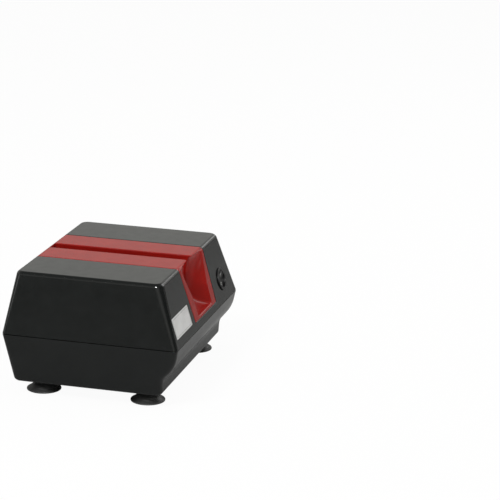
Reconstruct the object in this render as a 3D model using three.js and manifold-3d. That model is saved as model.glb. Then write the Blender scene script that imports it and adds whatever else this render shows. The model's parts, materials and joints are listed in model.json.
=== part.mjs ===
// An electric knife sharpener for the worktop. Two moulded shells carry a blade guide with a flared mouth.
// Under the guide, two ring-grooved grinding wheels interlock on parallel shafts, so that their rims cross in
// a V. Two equal gears turn them opposite ways, and a shaded-pole motor drives one of the gears.
// Millimetres, +Z up, the mouth of the guide at the front (-Y), origin on the worktop under the middle.
import * as THREE from 'three';
import { mergeVertices } from 'three/addons/utils/BufferGeometryUtils.js';
import Module from 'manifold-3d';

const solids = await Module();
solids.setup();

// Driving dimensions
const bodyWidth = 205; // across the parting line, the widest place
const bodyDepth = 167.7; // front to back at the parting line
const bodyHeight = 115.2; // worktop to the flat top
const partingHeight = 56.9; // worktop to the line between the two shells
const undersideHeight = 12; // worktop to the base's underside
const wall = 2.6; // moulded wall of both shells
const seam = 0.5; // open line between the two shells
const fit = 0.3; // clearance between pieces that touch
const overrun = 2; // how far a cut runs past what it cuts
const edgeDepth = 26.9; // how far below the top a blade's edge rests, between the wheels
const gearRadius = 21; // pitch radius of the two wheel gears, which is half the spacing of the shafts
const rimOverlap = 1.4; // how far each grinding wheel reaches past the middle between the shafts
const wheelRadius = gearRadius + rimOverlap;
const wheelGearTeeth = 42;
const pinionTeeth = 12;
const shaftRadius = 4;
const motorShaftRadius = 3;
const chamfer = 0.8; // on the ends of the wheel shafts
const grooveHalf = 7.3; // half the width of the guide's blade groove

// How far in each face of the shells stands from the widest place, at the top and at the underside
const draft = {
  topSide: 9.3, topFront: 18.25, topBack: 10.75, baseSide: 2.5, baseFront: 15.85, baseBack: 9.85,
};
const frontY = -bodyDepth / 2;
const backY = bodyDepth / 2;
const topWidth = bodyWidth - 2 * draft.topSide;
const topFrontY = frontY + draft.topFront;
const topBackY = backY - draft.topBack;
const baseWidth = bodyWidth - 2 * draft.baseSide;
const baseFrontY = frontY + draft.baseFront;
const baseBackY = backY - draft.baseBack;
const upperHeight = bodyHeight - partingHeight;
const lowerHeight = partingHeight - undersideHeight;
const floorTop = undersideHeight + wall;
const ceiling = bodyHeight - wall;
const edgeHeight = bodyHeight - edgeDepth;
const halfSpacing = gearRadius;
const axisHeight = edgeHeight - Math.sqrt(wheelRadius ** 2 - halfSpacing ** 2);

// Facet counts
const roundSteps = 14;
const wheelSteps = 18;
const smallSteps = 8;
const screwSteps = 6;
const cornerSteps = 3;
const slotSteps = 2;
const boreSteps = 5;
const nutSteps = 6;

const vector = (x, y, z) => new THREE.Vector3(x, y, z);
const origin = vector(0, 0, 0);
const mix = THREE.MathUtils.lerp;
const degrees = THREE.MathUtils.degToRad;

// Solids from geometry, and back

function toSolid(geometry) {
  const source = geometry.index ? geometry.toNonIndexed() : geometry;
  const bare = new THREE.BufferGeometry().setAttribute('position', source.getAttribute('position'));
  const merged = mergeVertices(bare);
  const triVerts = new Uint32Array(merged.index.array);
  const vertProperties = merged.getAttribute('position').array;
  const made = new solids.Manifold(new solids.Mesh({ numProp: 3, vertProperties, triVerts }));
  if (made.volume() > 0) return made;
  for (let i = 0; i < triVerts.length; i += 3) {
    [triVerts[i], triVerts[i + 1]] = [triVerts[i + 1], triVerts[i]];
  }
  return new solids.Manifold(new solids.Mesh({ numProp: 3, vertProperties, triVerts }));
}

function toGeometry(solid) {
  const mesh = solid.getMesh();
  const geometry = new THREE.BufferGeometry();
  geometry.setAttribute('position', new THREE.BufferAttribute(mesh.vertProperties, mesh.numProp));
  geometry.setIndex(new THREE.BufferAttribute(mesh.triVerts, 1));
  geometry.computeVertexNormals();
  return geometry;
}

const join = (...parts) => parts.reduce((whole, part) => whole.add(part));
const cut = (whole, ...parts) => parts.reduce((rest, part) => rest.subtract(part), whole);

// Outlines drawn in a plane and pushed along the axis that is square to it
const planes = {
  x: new THREE.Matrix4().makeBasis(vector(0, 1, 0), vector(0, 0, 1), vector(1, 0, 0)),
  y: new THREE.Matrix4().makeBasis(vector(-1, 0, 0), vector(0, 0, 1), vector(0, 1, 0)),
  z: new THREE.Matrix4(),
};

// Extrudes an outline from one place on an axis to another. Along y the outline is drawn in (-x, z).
function pushed(shape, axis, from, to, curveSegments = cornerSteps) {
  const geometry = new THREE.ExtrudeGeometry(shape, { depth: to - from, bevelEnabled: false, curveSegments });
  geometry.translate(0, 0, from);
  return geometry.applyMatrix4(planes[axis]);
}

const block = (low, high) => {
  const geometry = new THREE.BoxGeometry(...high.clone().sub(low).toArray());
  return geometry.translate(...low.clone().add(high).multiplyScalar(0.5).toArray());
};

// Turns a profile of [radius, place along the axis] about an axis through a point.
function turned(profile, axis, centre, steps = roundSteps) {
  const points = profile.map(([radius, along]) => new THREE.Vector2(radius, along));
  const geometry = new THREE.LatheGeometry(points, steps);
  if (axis === 'z') geometry.rotateX(Math.PI / 2);
  if (axis === 'x') geometry.rotateZ(-Math.PI / 2);
  return geometry.translate(centre.x, centre.y, centre.z);
}

const rod = (radius, from, to) => [[0, from], [radius, from], [radius, to], [0, to]];
const ring = (inner, outer, from, to) => [[inner, from], [outer, from], [outer, to], [inner, to], [inner, from]];

// A closed outline whose corners are rounded. Each corner is [x, y, radius].
function roundedShape(corners) {
  const shape = new THREE.Shape();
  corners.forEach(([x, y, radius], i) => {
    const here = new THREE.Vector2(x, y);
    const before = new THREE.Vector2(...corners[(i + corners.length - 1) % corners.length].slice(0, 2));
    const after = new THREE.Vector2(...corners[(i + 1) % corners.length].slice(0, 2));
    const start = before.sub(here).setLength(radius).add(here);
    const end = after.sub(here).setLength(radius).add(here);
    if (i === 0) shape.moveTo(start.x, start.y);
    else shape.lineTo(start.x, start.y);
    if (radius > 0) shape.quadraticCurveTo(x, y, end.x, end.y);
  });
  shape.closePath();
  return shape;
}

const rectangle = (x0, y0, x1, y1, radius) =>
  roundedShape([[x0, y0, radius], [x1, y0, radius], [x1, y1, radius], [x0, y1, radius]]);

function roundHole(x, y, radius) {
  return new THREE.Path().absarc(x, y, radius, 0, Math.PI * 2, true);
}

// Joins rings of points, one above the other, into a closed solid. In mirrored rings the second half of the
// points mirrors the first, and so do the triangles.
function loft(rings, mirrored = false) {
  const places = [];
  const face = (...corners) => corners.forEach((corner) => places.push(...corner.toArray()));
  const middle = (points) => points.reduce((sum, p) => sum.add(p), vector(0, 0, 0)).divideScalar(points.length);
  const first = rings[0];
  const last = rings[rings.length - 1];
  const firstMiddle = middle(first);
  const lastMiddle = middle(last);
  first.forEach((_, i) => {
    const next = (i + 1) % first.length;
    const crossed = mirrored && i >= first.length / 2;
    rings.slice(1).forEach((upper, level) => {
      const lower = rings[level];
      face(lower[i], lower[next], crossed ? upper[i] : upper[next]);
      face(crossed ? lower[next] : lower[i], upper[next], upper[i]);
    });
    face(first[next], first[i], firstMiddle);
    face(last[i], last[next], lastMiddle);
  });
  return new THREE.BufferGeometry().setAttribute('position', new THREE.Float32BufferAttribute(places, 3));
}

// A level ring: a rectangle from front to back with round corners.
function levelRing({ half, front, back, radius, height }) {
  const points = [];
  const corners = [[half, back], [-half, back], [-half, front], [half, front]];
  corners.forEach(([x, y], quarter) => {
    for (let step = 0; step <= cornerSteps; step += 1) {
      const angle = (quarter + step / cornerSteps) * (Math.PI / 2);
      points.push(vector(
        x - Math.sign(x) * radius + radius * Math.cos(angle),
        y - Math.sign(y) * radius + radius * Math.sin(angle),
        height,
      ));
    }
  });
  return points;
}

// Outer form of the shells

const housing = { cornerLow: 4, cornerHigh: 8, edgeRound: 2.6, edgeSteps: 3, leastCorner: 0.8 };

// The upper form, drawn in on all sides by an inset and carried down to a height.
function upperForm(inset, fromHeight) {
  const section = (height, drawnIn) => {
    const share = (height - partingHeight) / upperHeight;
    return {
      half: mix(bodyWidth, topWidth, share) / 2 - drawnIn,
      front: mix(frontY, topFrontY, share) + drawnIn,
      back: mix(backY, topBackY, share) - drawnIn,
      radius: Math.max(mix(housing.cornerLow, housing.cornerHigh, share) - drawnIn, housing.leastCorner),
      height,
    };
  };
  const top = bodyHeight - inset;
  const edge = Math.max(housing.edgeRound - inset, housing.leastCorner);
  const rings = [levelRing(section(fromHeight, inset))];
  for (let step = 0; step <= housing.edgeSteps; step += 1) {
    const angle = (step / housing.edgeSteps) * (Math.PI / 2);
    const drawnIn = inset + edge * (1 - Math.cos(angle));
    rings.push(levelRing(section(top - edge * (1 - Math.sin(angle)), drawnIn)));
  }
  return toSolid(loft(rings));
}

// The base's front runs down from the parting line, tucks in under a lip and ends in a set-back wall.
const lip = {
  nose: 3.35, rootIn: 15.25, noseShare: 0.617, rootShare: 0.332, noseRound: 9, rootRound: 5, steps: 2,
};
const baseForm = { cornerLow: 7, cornerHigh: 4, underRound: 3 };

function lipProfile() {
  const corners = [
    [baseFrontY, undersideHeight],
    [frontY + lip.rootIn, undersideHeight + lowerHeight * lip.rootShare, lip.rootRound],
    [frontY + lip.nose, undersideHeight + lowerHeight * lip.noseShare, lip.noseRound],
    [frontY, partingHeight],
  ];
  const path = new THREE.CurvePath();
  let from = new THREE.Vector2(...corners[0]);
  const turnsAt = corners.slice(1, -1);
  turnsAt.forEach(([cy, cz, radius], i) => {
    const here = new THREE.Vector2(cy, cz);
    const before = new THREE.Vector2(...corners[i].slice(0, 2)).sub(here).setLength(radius).add(here);
    const after = new THREE.Vector2(...corners[i + 2].slice(0, 2)).sub(here).setLength(radius).add(here);
    path.add(new THREE.LineCurve(from, before));
    path.add(new THREE.QuadraticBezierCurve(before, here, after));
    from = after;
  });
  path.add(new THREE.LineCurve(from, new THREE.Vector2(...corners[corners.length - 1])));
  const points = [];
  for (const piece of path.curves) {
    const count = piece.isLineCurve ? 1 : lip.steps;
    piece.getPoints(count).forEach((p) => {
      if (!points.length || p.distanceTo(points[points.length - 1]) > 0) points.push(p);
    });
  }
  return points;
}

// The lower form, drawn in by an inset, from a height near the underside up to the parting line or past it.
function lowerForm(inset, floorHeight, topHeight) {
  const profile = lipProfile();
  const frontAt = (height) => {
    const above = profile.findIndex((p) => p.y >= height);
    if (above <= 0) return above === 0 ? profile[0].x : profile[profile.length - 1].x;
    const [low, high] = [profile[above - 1], profile[above]];
    return mix(low.x, high.x, (height - low.y) / (high.y - low.y));
  };
  const section = (height, drawnIn) => {
    const share = (height - undersideHeight) / lowerHeight;
    return levelRing({
      half: mix(baseWidth, bodyWidth, share) / 2 - drawnIn,
      front: frontAt(height) + drawnIn,
      back: mix(baseBackY, backY, share) - drawnIn,
      radius: Math.max(mix(baseForm.cornerLow, baseForm.cornerHigh, share) - drawnIn, housing.leastCorner),
      height,
    });
  };
  const edge = Math.max(baseForm.underRound - inset, housing.leastCorner);
  const rings = [];
  for (let step = housing.edgeSteps; step >= 0; step -= 1) {
    const angle = (step / housing.edgeSteps) * (Math.PI / 2);
    rings.push(section(floorHeight + edge * (1 - Math.sin(angle)), inset + edge * (1 - Math.cos(angle))));
  }
  profile.slice(1, -1).forEach((p) => rings.push(section(p.y, inset)));
  rings.push(section(topHeight, inset));
  return toSolid(loft(rings));
}

// The front slope, as a frame: u across, v up the slope, n out of it
const slopeUp = vector(0, draft.topFront, upperHeight).normalize();
const slopeOut = vector(1, 0, 0).cross(slopeUp);
const upShare = (height) => (height - partingHeight) / upperHeight;
const frontAtHeight = (height) => mix(frontY, topFrontY, upShare(height));
const halfAtHeight = (height) => mix(bodyWidth, topWidth, upShare(height)) / 2;

// The opening of the blade guide: a straight band over the top, and a tapered panel down the front slope
const panel = { topHalf: 39, lowHalf: 34.3, rise: 6.7, corner: 1.6, backLip: 8.5 };
const panelLow = partingHeight + panel.rise;
const panelShare = (height) => (height - panelLow) / (bodyHeight - panelLow);
const panelHalfAt = (height) => mix(panel.lowHalf, panel.topHalf, panelShare(height));

function guideSpace(grow) {
  const above = bodyHeight + overrun;
  const tall = panelLow - grow;
  const front = roundedShape([
    [-panel.lowHalf - grow, tall, panel.corner],
    [panel.lowHalf + grow, tall, panel.corner],
    [panel.topHalf + grow, bodyHeight, 0],
    [panel.topHalf + grow, above, 0],
    [-panel.topHalf - grow, above, 0],
    [-panel.topHalf - grow, bodyHeight, 0],
  ]);
  const panelDepthY = topFrontY + wall;
  return join(
    toSolid(pushed(front, 'y', frontY - overrun, panelDepthY)),
    toSolid(block(
      vector(-panel.topHalf - grow, panelDepthY - overrun, bodyHeight - panel.backLip - grow),
      vector(panel.topHalf + grow, backY, above),
    )),
  );
}

// Blade guide

const guide = {
  skin: 3.1,
  flange: 2, // thickness of the rebate that lies under the housing
  flangeOut: 4,
  flangeIn: 3,
  shell: 2, // wall of the pocket and the groove
  footHalf: 22.2, // half the mouth at its foot
  mouthHalf: 23.4, // half the mouth where its sides begin to open out
  mouthShare: 0.48, // of the slope's height, where that is
  rimHalf: 35, // half the mouth under the top edge, where it is shallow
  footRise: 9.3, // from the parting line up to the foot of the mouth
  footRound: 4.5,
  depth: 17, // how far the flare runs in, along Y
  depthShares: [0, 0.06, 0.18, 0.32, 0.48, 0.7, 1], // of that depth, where the sections of the flare are drawn
  dropShares: [0.0324, 0.1024, 0.2304, 0.49, 1], // their squares, of the drop to where the sides open out
  edgeRoom: 10.3, // from the inner end of the pocket's floor up to where the edge rests
  sideSteps: 3,
  wheelRoom: 2.4, // from the wheels up to the groove's walls
  rearRoom: 2.3, // from the groove's floor behind the gears up to where the edge rests
  shaftRoom: 6.1, // from the wheel shafts back to that floor
  endRoom: 17.35, // from the back end of the groove to the back of the body
  runOutDepth: 6, // the groove's shallow end, which runs on to the back edge
  runOutFloor: 1.6,
  runOutWall: 2.3, // from that end to the back of the top
};

const guideFoot = partingHeight + guide.footRise;
const innerFloor = edgeHeight - guide.edgeRoom;

const openHeight = mix(partingHeight, bodyHeight, guide.mouthShare);

// Half the width of the mouth on the slope: nearly straight sides, which open out towards the top edge.
function mouthHalfAt(height) {
  if (height > openHeight) {
    return mix(guide.mouthHalf, guide.rimHalf, (height - openHeight) / (bodyHeight - openHeight));
  }
  return mix(guide.footHalf, guide.mouthHalf, (height - guideFoot) / (openHeight - guideFoot));
}

// The pocket behind the mouth: bell-mouthed sides, a floor that rises as it runs in, and less depth towards the
// top. A grown one is wider, deeper and taller by as much.
function pocketForm(grow) {
  const drop = bodyHeight - openHeight;
  const drops = guide.dropShares.map((share) => bodyHeight - drop * share);
  const depths = guide.depthShares.map((share) => guide.depth * share + grow);
  const rings = [grow > 0 ? grow / 2 : -overrun, ...depths].map((depth) => {
    const inward = THREE.MathUtils.clamp((depth - grow) / guide.depth, 0, 1);
    const flare = Math.sin((inward * Math.PI) / 2);
    const floor = mix(guideFoot, innerFloor, inward ** 2) - grow;
    const round = mix(guide.footRound, grooveHalf / 2, flare);
    const halfAt = (height) => {
      const left = THREE.MathUtils.clamp((bodyHeight + grow - height) / drop, 0, 1);
      const turn = left > 0 ? Math.min(inward / Math.sqrt(left), 1) : 1;
      return mix(mouthHalfAt(Math.min(height, bodyHeight)), grooveHalf, Math.sin((turn * Math.PI) / 2)) + grow;
    };
    const heights = [bodyHeight + overrun, bodyHeight + grow, ...drops];
    for (let i = 1; i <= guide.sideSteps; i += 1) {
      heights.push(mix(openHeight, floor + round, i / guide.sideSteps));
    }
    const side = heights.map((height) => [halfAt(height), height]);
    const low = halfAt(floor + round);
    for (let i = 1; i <= cornerSteps; i += 1) {
      const angle = ((i / cornerSteps) * Math.PI) / 2;
      side.push([low - round * (1 - Math.cos(angle)), floor + round * (1 - Math.sin(angle))]);
    }
    const place = (x, height) => vector(x, frontAtHeight(height) + depth, height);
    const right = side.map(([x, height]) => place(x, height));
    const left = side.map(([x, height]) => place(-x, height)).reverse();
    return [...right, ...left];
  });
  return toSolid(loft(rings, true));
}

// Wheels, gears and shafts. The wheels and the motor's stack share the length that the body leaves for them.

const wheel = {
  frontRoom: 39.85, // from the front of the body
  lengthShare: 0.6235, ringShare: 0.4286, bevel: 0.4, ringCount: 5, endMargin: 1, rimGap: 0.4,
};
const plate = {
  thickness: 2.5, wheelGap: 3.2, half: 50, shoulder: 14, top: 17, notchHalf: 8.6, notchDrop: 4, flangeDepth: 13,
  corner: 3, footShare: 0.1123, screwRoom: 1.2, holeRoom: 6,
};
const gear = {
  width: 7, plateGap: 3, hubRadius: 9, hubLength: 1.6, backlash: 0.16, webRadius: 16, webDepth: 1.6,
};
const clip = { thickness: 1, outer: 7, gap: 0.4 };
const bush = { outer: 6.2, flangeRadius: 8.2, flange: 1.4, sleeve: 5, running: 0.12 };
const motor = {
  dropShare: 0.2897, // of the height from the floor to the wheel shafts: how far the motor sits below them
  stackHeight: 50, bodyLeft: 24, stackCorner: 2.5, airGap: 0.5, windowHeight: 36, windowCorner: 1,
  // From the motor's axis out to the side of the body
  boreShare: 0.2451, windowShare: 0.1522, legShare: 0.2243, overhangShare: 0.1145, sideShare: 0.1804,
  screwShare: 1.046, // of the bore's radius
  screwZ: 21, screwRadius: 1.8, screwHole: 2.2,
  gearGap: 12.5, pinionExtra: 1, shaftTip: 1,
  backRoom: 32.25, // from the stack to the back of the body
};
const wheelFrontY = frontY + wheel.frontRoom;
const stackEndY = backY - motor.backRoom;
const gearSpan = plate.thickness + gear.plateGap + gear.width;
const betweenThem = wheel.endMargin + plate.wheelGap + gearSpan + motor.gearGap;
const sharedLength = stackEndY - wheelFrontY - betweenThem;
const wheelLength = sharedLength * wheel.lengthShare;
const stackY = wheelFrontY + wheelLength + betweenThem;
const ringPitch = wheelLength / (wheel.ringCount - 0.5 + wheel.ringShare);
const ringWidth = ringPitch * wheel.ringShare;
const toothModule = (2 * gearRadius) / wheelGearTeeth;
const wheelCore = 2 * halfSpacing - wheelRadius - wheel.rimGap;
const wheelBackY = wheelFrontY + wheelLength;
const plateFoot = mix(floorTop, axisHeight, plate.footShare);
const frontPlateY = wheelFrontY - wheel.endMargin - plate.wheelGap - plate.thickness;
const rearPlateY = wheelBackY + wheel.endMargin + plate.wheelGap;
const gearY = rearPlateY + plate.thickness + gear.plateGap;
const shaftFrontY = frontPlateY - bush.sleeve / 2 - clip.thickness - clip.gap * 2 - fit;
const shaftBackY = gearY + gear.width + gear.hubLength + clip.thickness + clip.gap * 3;

// A ring-grooved grinding wheel. Its neighbour's rings are half a pitch further on and run in its grooves.
function wheelProfile(shift) {
  const start = wheelFrontY - wheel.endMargin;
  const end = wheelBackY + wheel.endMargin;
  const bore = shaftRadius + fit;
  const points = [[bore, start], [wheelCore, start]];
  for (let i = 0; i < wheel.ringCount; i += 1) {
    const from = wheelFrontY + (i + shift) * ringPitch;
    const to = from + ringWidth;
    points.push([wheelCore, from], [wheelRadius, from + wheel.bevel]);
    points.push([wheelRadius, to - wheel.bevel], [wheelCore, to]);
  }
  points.push([wheelCore, end], [bore, end], [bore, start]);
  return points;
}

// Straight-sided teeth at 20 degrees. The first tooth's middle is at the phase angle.
const tooth = { pressureDegrees: 20, tipShare: 1, rootShare: 1.25, rootSpreadShare: 0.7 };

function gearShape(teeth, phase, bore) {
  const pitchRadius = (toothModule * teeth) / 2;
  const slope = Math.tan(degrees(tooth.pressureDegrees));
  const halfTooth = (Math.PI * toothModule) / 4 - gear.backlash / 2;
  const tip = toothModule * tooth.tipShare - gear.backlash / 2;
  const root = toothModule * tooth.rootShare;
  const shape = new THREE.Shape();
  for (let i = 0; i < teeth; i += 1) {
    const middle = phase + (i * 2 * Math.PI) / teeth;
    const corners = [
      [pitchRadius - root, -halfTooth - slope * root * tooth.rootSpreadShare],
      [pitchRadius + tip, -halfTooth + slope * tip],
      [pitchRadius + tip, halfTooth - slope * tip],
      [pitchRadius - root, halfTooth + slope * root * tooth.rootSpreadShare],
    ];
    corners.forEach(([radius, arc], corner) => {
      const angle = middle + arc / pitchRadius;
      const point = [radius * Math.cos(angle), radius * Math.sin(angle)];
      if (i === 0 && corner === 0) shape.moveTo(...point);
      else shape.lineTo(...point);
    });
  }
  shape.closePath();
  shape.holes.push(roundHole(0, 0, bore));
  return shape;
}

// The phase of a gear that meshes with another, seen along the direction from the other's centre to its own.
function meshPhase(otherTeeth, otherPhase, direction, teeth) {
  const step = (2 * Math.PI) / otherTeeth;
  const offset = THREE.MathUtils.euclideanModulo(otherPhase - direction, step);
  const halfPitch = (Math.PI * toothModule) / 2;
  return direction + Math.PI - (offset * toothModule * otherTeeth / 2 + halfPitch) / (toothModule * teeth / 2);
}

// The motor's place: its pinion meshes with the right gear, and its coil reaches out towards the side

const meshDistance = gearRadius + (toothModule * pinionTeeth) / 2;
const motorDrop = (axisHeight - floorTop) * motor.dropShare;
const motorX = halfSpacing + Math.sqrt(meshDistance ** 2 - motorDrop ** 2);
const motorZ = axisHeight - motorDrop;
const meshAngle = Math.atan2(motorZ - axisHeight, motorX - halfSpacing);
const sideSpan = bodyWidth / 2 - motorX;
const boreRadius = sideSpan * motor.boreShare;
const screwX = boreRadius * motor.screwShare;
const coilOverhang = sideSpan * motor.overhangShare;
const stackLeft = motorX - motor.bodyLeft;
const stackRight = bodyWidth / 2 - sideSpan * motor.sideShare - coilOverhang;

// Materials

const material = (color, roughness, metalness) =>
  new THREE.MeshStandardMaterial({ color, roughness, metalness });
const blackPlastic = material(0x1b1d1c, 0.22, 0);
const redPlastic = material(0xa5181b, 0.2, 0);
const blackRubber = material(0x121313, 0.55, 0);
const steel = material(0x9a9c9e, 0.35, 1);
const abrasive = material(0xb9b2a4, 0.9, 0);
const bronze = material(0x9c7440, 0.4, 1);
const whiteNylon = material(0xe2dfd4, 0.45, 0);
const lamination = material(0x5b5f63, 0.5, 1);
const copper = material(0xa65a2c, 0.4, 0.6);
const amberPlastic = material(0xc8a15a, 0.5, 0);

const sharpener = new THREE.Group();

function piece(name, solid, finish, parent = sharpener) {
  const mesh = new THREE.Mesh(toGeometry(solid), finish);
  mesh.name = name;
  parent.add(mesh);
  return mesh;
}

const sides = [['left', -1], ['right', 1]];

// Screws with a crossed recess. The head's seat is at the origin, the head above it and the shank below.
const screwShares = { tip: 0.5, rim: 0.45, crown: 0.7, recessFloor: 0.5, recessReach: 0.62, recessHalf: 0.3 };

function screwSolid({ headRadius, headHeight, shankRadius, length }, axis, seat, direction) {
  const profile = [
    [0, -length], [shankRadius * screwShares.tip, -length],
    [shankRadius, -length + shankRadius], [shankRadius, 0],
    [headRadius, 0], [headRadius, headHeight * screwShares.rim], [headRadius * screwShares.crown, headHeight],
    [0, headHeight],
  ];
  const body = toSolid(turned(profile, 'z', origin, screwSteps));
  const slotHalf = shankRadius * screwShares.recessHalf;
  const slotReach = headRadius * screwShares.recessReach;
  const slot = (half, across) => toSolid(block(
    vector(-half, -across, headHeight * screwShares.recessFloor), vector(half, across, headHeight + overrun),
  ));
  const geometry = toGeometry(cut(body, slot(slotHalf, slotReach), slot(slotReach, slotHalf)));
  const turns = { x: [0, Math.PI / 2, 0], y: [-Math.PI / 2, 0, 0], z: [0, 0, 0] }[axis];
  if (direction < 0) geometry.rotateX(Math.PI);
  geometry.applyMatrix4(new THREE.Matrix4().makeRotationFromEuler(new THREE.Euler(...turns)));
  return toSolid(geometry.translate(seat.x, seat.y, seat.z));
}

// Top housing

const tower = { radius: 5.5, bore: 4, hole: 2.2, seatDrop: 9, sideRoom: 10.5, frontRoom: 59.85, coilGap: 1.75 };
const shellScrew = { headRadius: 3.7, headHeight: 2.6, shankRadius: 1.9, length: 17 };
const towerX = bodyWidth / 2 - tower.sideRoom;
const towerPlaces = sides.flatMap(([side, sign]) => [
  [`front_${side}`, sign * towerX, frontY + tower.frontRoom],
  [`back_${side}`, sign * towerX, stackEndY + coilOverhang + tower.coilGap + tower.radius],
]);
const ear = {
  out: 8, frontRoom: 53.85, backRoom: 39.85, drop: 6, radius: 3.6, hole: 1.5, thickness: 2.2, halfWidth: 4.5,
  reach: 4.6,
};
const earX = panel.topHalf + ear.out;
const earPlaces = [frontY + ear.frontRoom, backY - ear.backRoom];
const earScrew = { headRadius: 2.6, headHeight: 1.8, shankRadius: 1.2, length: 7 };

const rocker = {
  rise: 20.1, acrossShare: 0.478, bezelRadius: 11, bezelHeight: 1.4, bezelRound: 0.6, tubRadius: 9.7,
  tubDepth: 17, wellDepth: 9, wellDraft: 0.3,
};
const rockerHeight = partingHeight + rocker.rise;
const rockerX = mix(panelHalfAt(rockerHeight), halfAtHeight(rockerHeight), rocker.acrossShare);
const switchFrame = new THREE.Matrix4().makeBasis(vector(1, 0, 0), slopeUp, slopeOut)
  .setPosition(rockerX, frontAtHeight(rockerHeight), rockerHeight);

const onSlope = (geometry) => toSolid(geometry.applyMatrix4(switchFrame));

{
  const shell = cut(upperForm(0, partingHeight + seam / 2), upperForm(wall, partingHeight - overrun));
  const bosses = towerPlaces.map(([, x, y]) =>
    toSolid(turned(rod(tower.radius, partingHeight + seam, bodyHeight), 'z', vector(x, y, 0), smallSteps)));
  const pilots = towerPlaces.map(([, x, y]) => {
    const depth = partingHeight + shellScrew.length;
    return toSolid(turned(rod(tower.hole, partingHeight - overrun, depth), 'z', vector(x, y, 0), smallSteps));
  });
  const earBosses = sides.flatMap(([, sign]) => earPlaces.map((y) => {
    const at = vector(sign * earX, y, 0);
    const sleeve = ring(ear.hole, ear.radius, ceiling - ear.drop, bodyHeight - wall / 2);
    return toSolid(turned(sleeve, 'z', at, smallSteps));
  }));
  const inside = upperForm(wall / 2, partingHeight - overrun);
  const earHoles = sides.flatMap(([, sign]) => earPlaces.map((y) => toSolid(turned(
    rod(ear.hole, ceiling - ear.drop - overrun, ceiling), 'z', vector(sign * earX, y, 0), smallSteps,
  ))));
  const switchHole = onSlope(turned(rod(rocker.tubRadius + fit, -wall * 2, overrun), 'z', origin));
  piece('top_housing', cut(
    join(cut(shell, guideSpace(fit)), join(...bosses).intersect(inside), join(...earBosses)),
    ...pilots, ...earHoles, switchHole,
  ), blackPlastic);
}

// Blade guide, flush with the housing, its rebate held under the housing's edge
{
  const flangeTop = wall + fit;
  const skin = cut(upperForm(0, partingHeight - overrun).intersect(guideSpace(0)), upperForm(guide.skin, 0));
  const rebate = cut(
    upperForm(flangeTop, partingHeight - overrun).intersect(guideSpace(guide.flangeOut)),
    upperForm(flangeTop + guide.flange, 0),
    guideSpace(-guide.flangeIn),
  );
  const under = upperForm(fit * 2, partingHeight - overrun);
  const pocket = pocketForm(guide.shell).intersect(under);
  const outer = grooveHalf + guide.shell;
  const below = bodyHeight - guide.skin / 2;
  const wallHeight = axisHeight + Math.sqrt(wheelRadius ** 2 - (halfSpacing - outer) ** 2) + guide.wheelRoom;
  const rearFloor = edgeHeight - guide.rearRoom;
  const endY = backY - guide.endRoom;
  const channelFrontY = frontAtHeight(wallHeight) + guide.depth / 2;
  const overWheels = toSolid(block(
    vector(-outer, channelFrontY, wallHeight), vector(outer, endY + guide.shell, below),
  ));
  const behindGears = toSolid(block(
    vector(-outer, shaftBackY + guide.shaftRoom, rearFloor - guide.shell),
    vector(outer, endY + guide.shell, below),
  ));
  const groove = toSolid(block(
    vector(-grooveHalf, topFrontY - overrun, rearFloor), vector(grooveHalf, endY, bodyHeight + overrun),
  ));
  const ears = sides.flatMap(([, sign]) => earPlaces.map((y) => {
    const top = ceiling - ear.drop - fit;
    const outline = [
      [panel.topHalf, ceiling - fit - guide.flange / 2],
      [panel.topHalf + ear.thickness, ceiling - fit - guide.flange / 2],
      [panel.topHalf + ear.thickness, top],
      [earX + ear.reach, top],
      [earX + ear.reach, top - ear.thickness],
      [panel.topHalf, top - ear.thickness],
    ].map(([x, z]) => [-sign * x, z, 0]);
    const tab = toSolid(pushed(roundedShape(outline), 'y', y - ear.halfWidth, y + ear.halfWidth));
    const hole = rod(ear.hole, top - ear.thickness - overrun, top + overrun);
    return cut(tab, toSolid(turned(hole, 'z', vector(sign * earX, y, 0), smallSteps)));
  }));
  const mouth = pocketForm(0);
  const runOutEndY = topBackY - guide.runOutWall;
  const runOutHeight = bodyHeight - guide.runOutDepth;
  const underRunOut = toSolid(block(
    vector(-outer, endY, runOutHeight - guide.runOutFloor), vector(outer, runOutEndY, below),
  ));
  const runOut = toSolid(block(
    vector(-grooveHalf, endY - overrun, runOutHeight), vector(grooveHalf, runOutEndY, bodyHeight + overrun),
  ));
  const body = join(skin, rebate, pocket, overWheels, behindGears, underRunOut, ...ears);
  piece('blade_guide', cut(body, mouth, groove, runOut), redPlastic);
}

sides.forEach(([side, sign]) => earPlaces.forEach((y, i) => {
  const seat = vector(sign * earX, y, ceiling - ear.drop - fit * 2 - ear.thickness);
  piece(`guide_screw_${i ? 'back' : 'front'}_${side}`, screwSolid(earScrew, 'z', seat, -1), steel);
}));

// Base housing

const foot = {
  radius: 16, sideRoom: 24.5, frontRoom: 34.55, backRoom: 32.45, hole: 3.6, cupHeight: 7.5, rim: 2.6,
};
const footX = bodyWidth / 2 - foot.sideRoom;
const footPlaces = sides.flatMap(([side, sign]) => [
  [`front_${side}`, sign * footX, frontY + foot.frontRoom],
  [`back_${side}`, sign * footX, backY - foot.backRoom],
]);
const post = { radius: 5, endRoom: 10, hole: 1.8 };
const postX = plate.half - post.endRoom;
const plateScrew = { headRadius: 3.2, headHeight: 2.2, shankRadius: 1.5 };
const plateFlangeMiddle = plate.thickness + plate.flangeDepth / 2;
const postPlaces = [
  ['front', frontPlateY + plate.thickness / 2 + plateFlangeMiddle / 2],
  ['rear', rearPlateY + plate.thickness / 2 - plateFlangeMiddle / 2],
];
const vent = { width: 3, pastStack: 4.5, pitch: 7, count: 5 };
const grommet = {
  sideRoom: 40.5, rise: 18, bore: 3.5, flange: 8, flangeHeight: 1.6, hole: 6.2, innerFlange: 7.4,
  innerDepth: 2.2, edge: 0.8, leadIn: 0.5,
};
const backUp = vector(0, draft.baseBack, lowerHeight).normalize();
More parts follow.
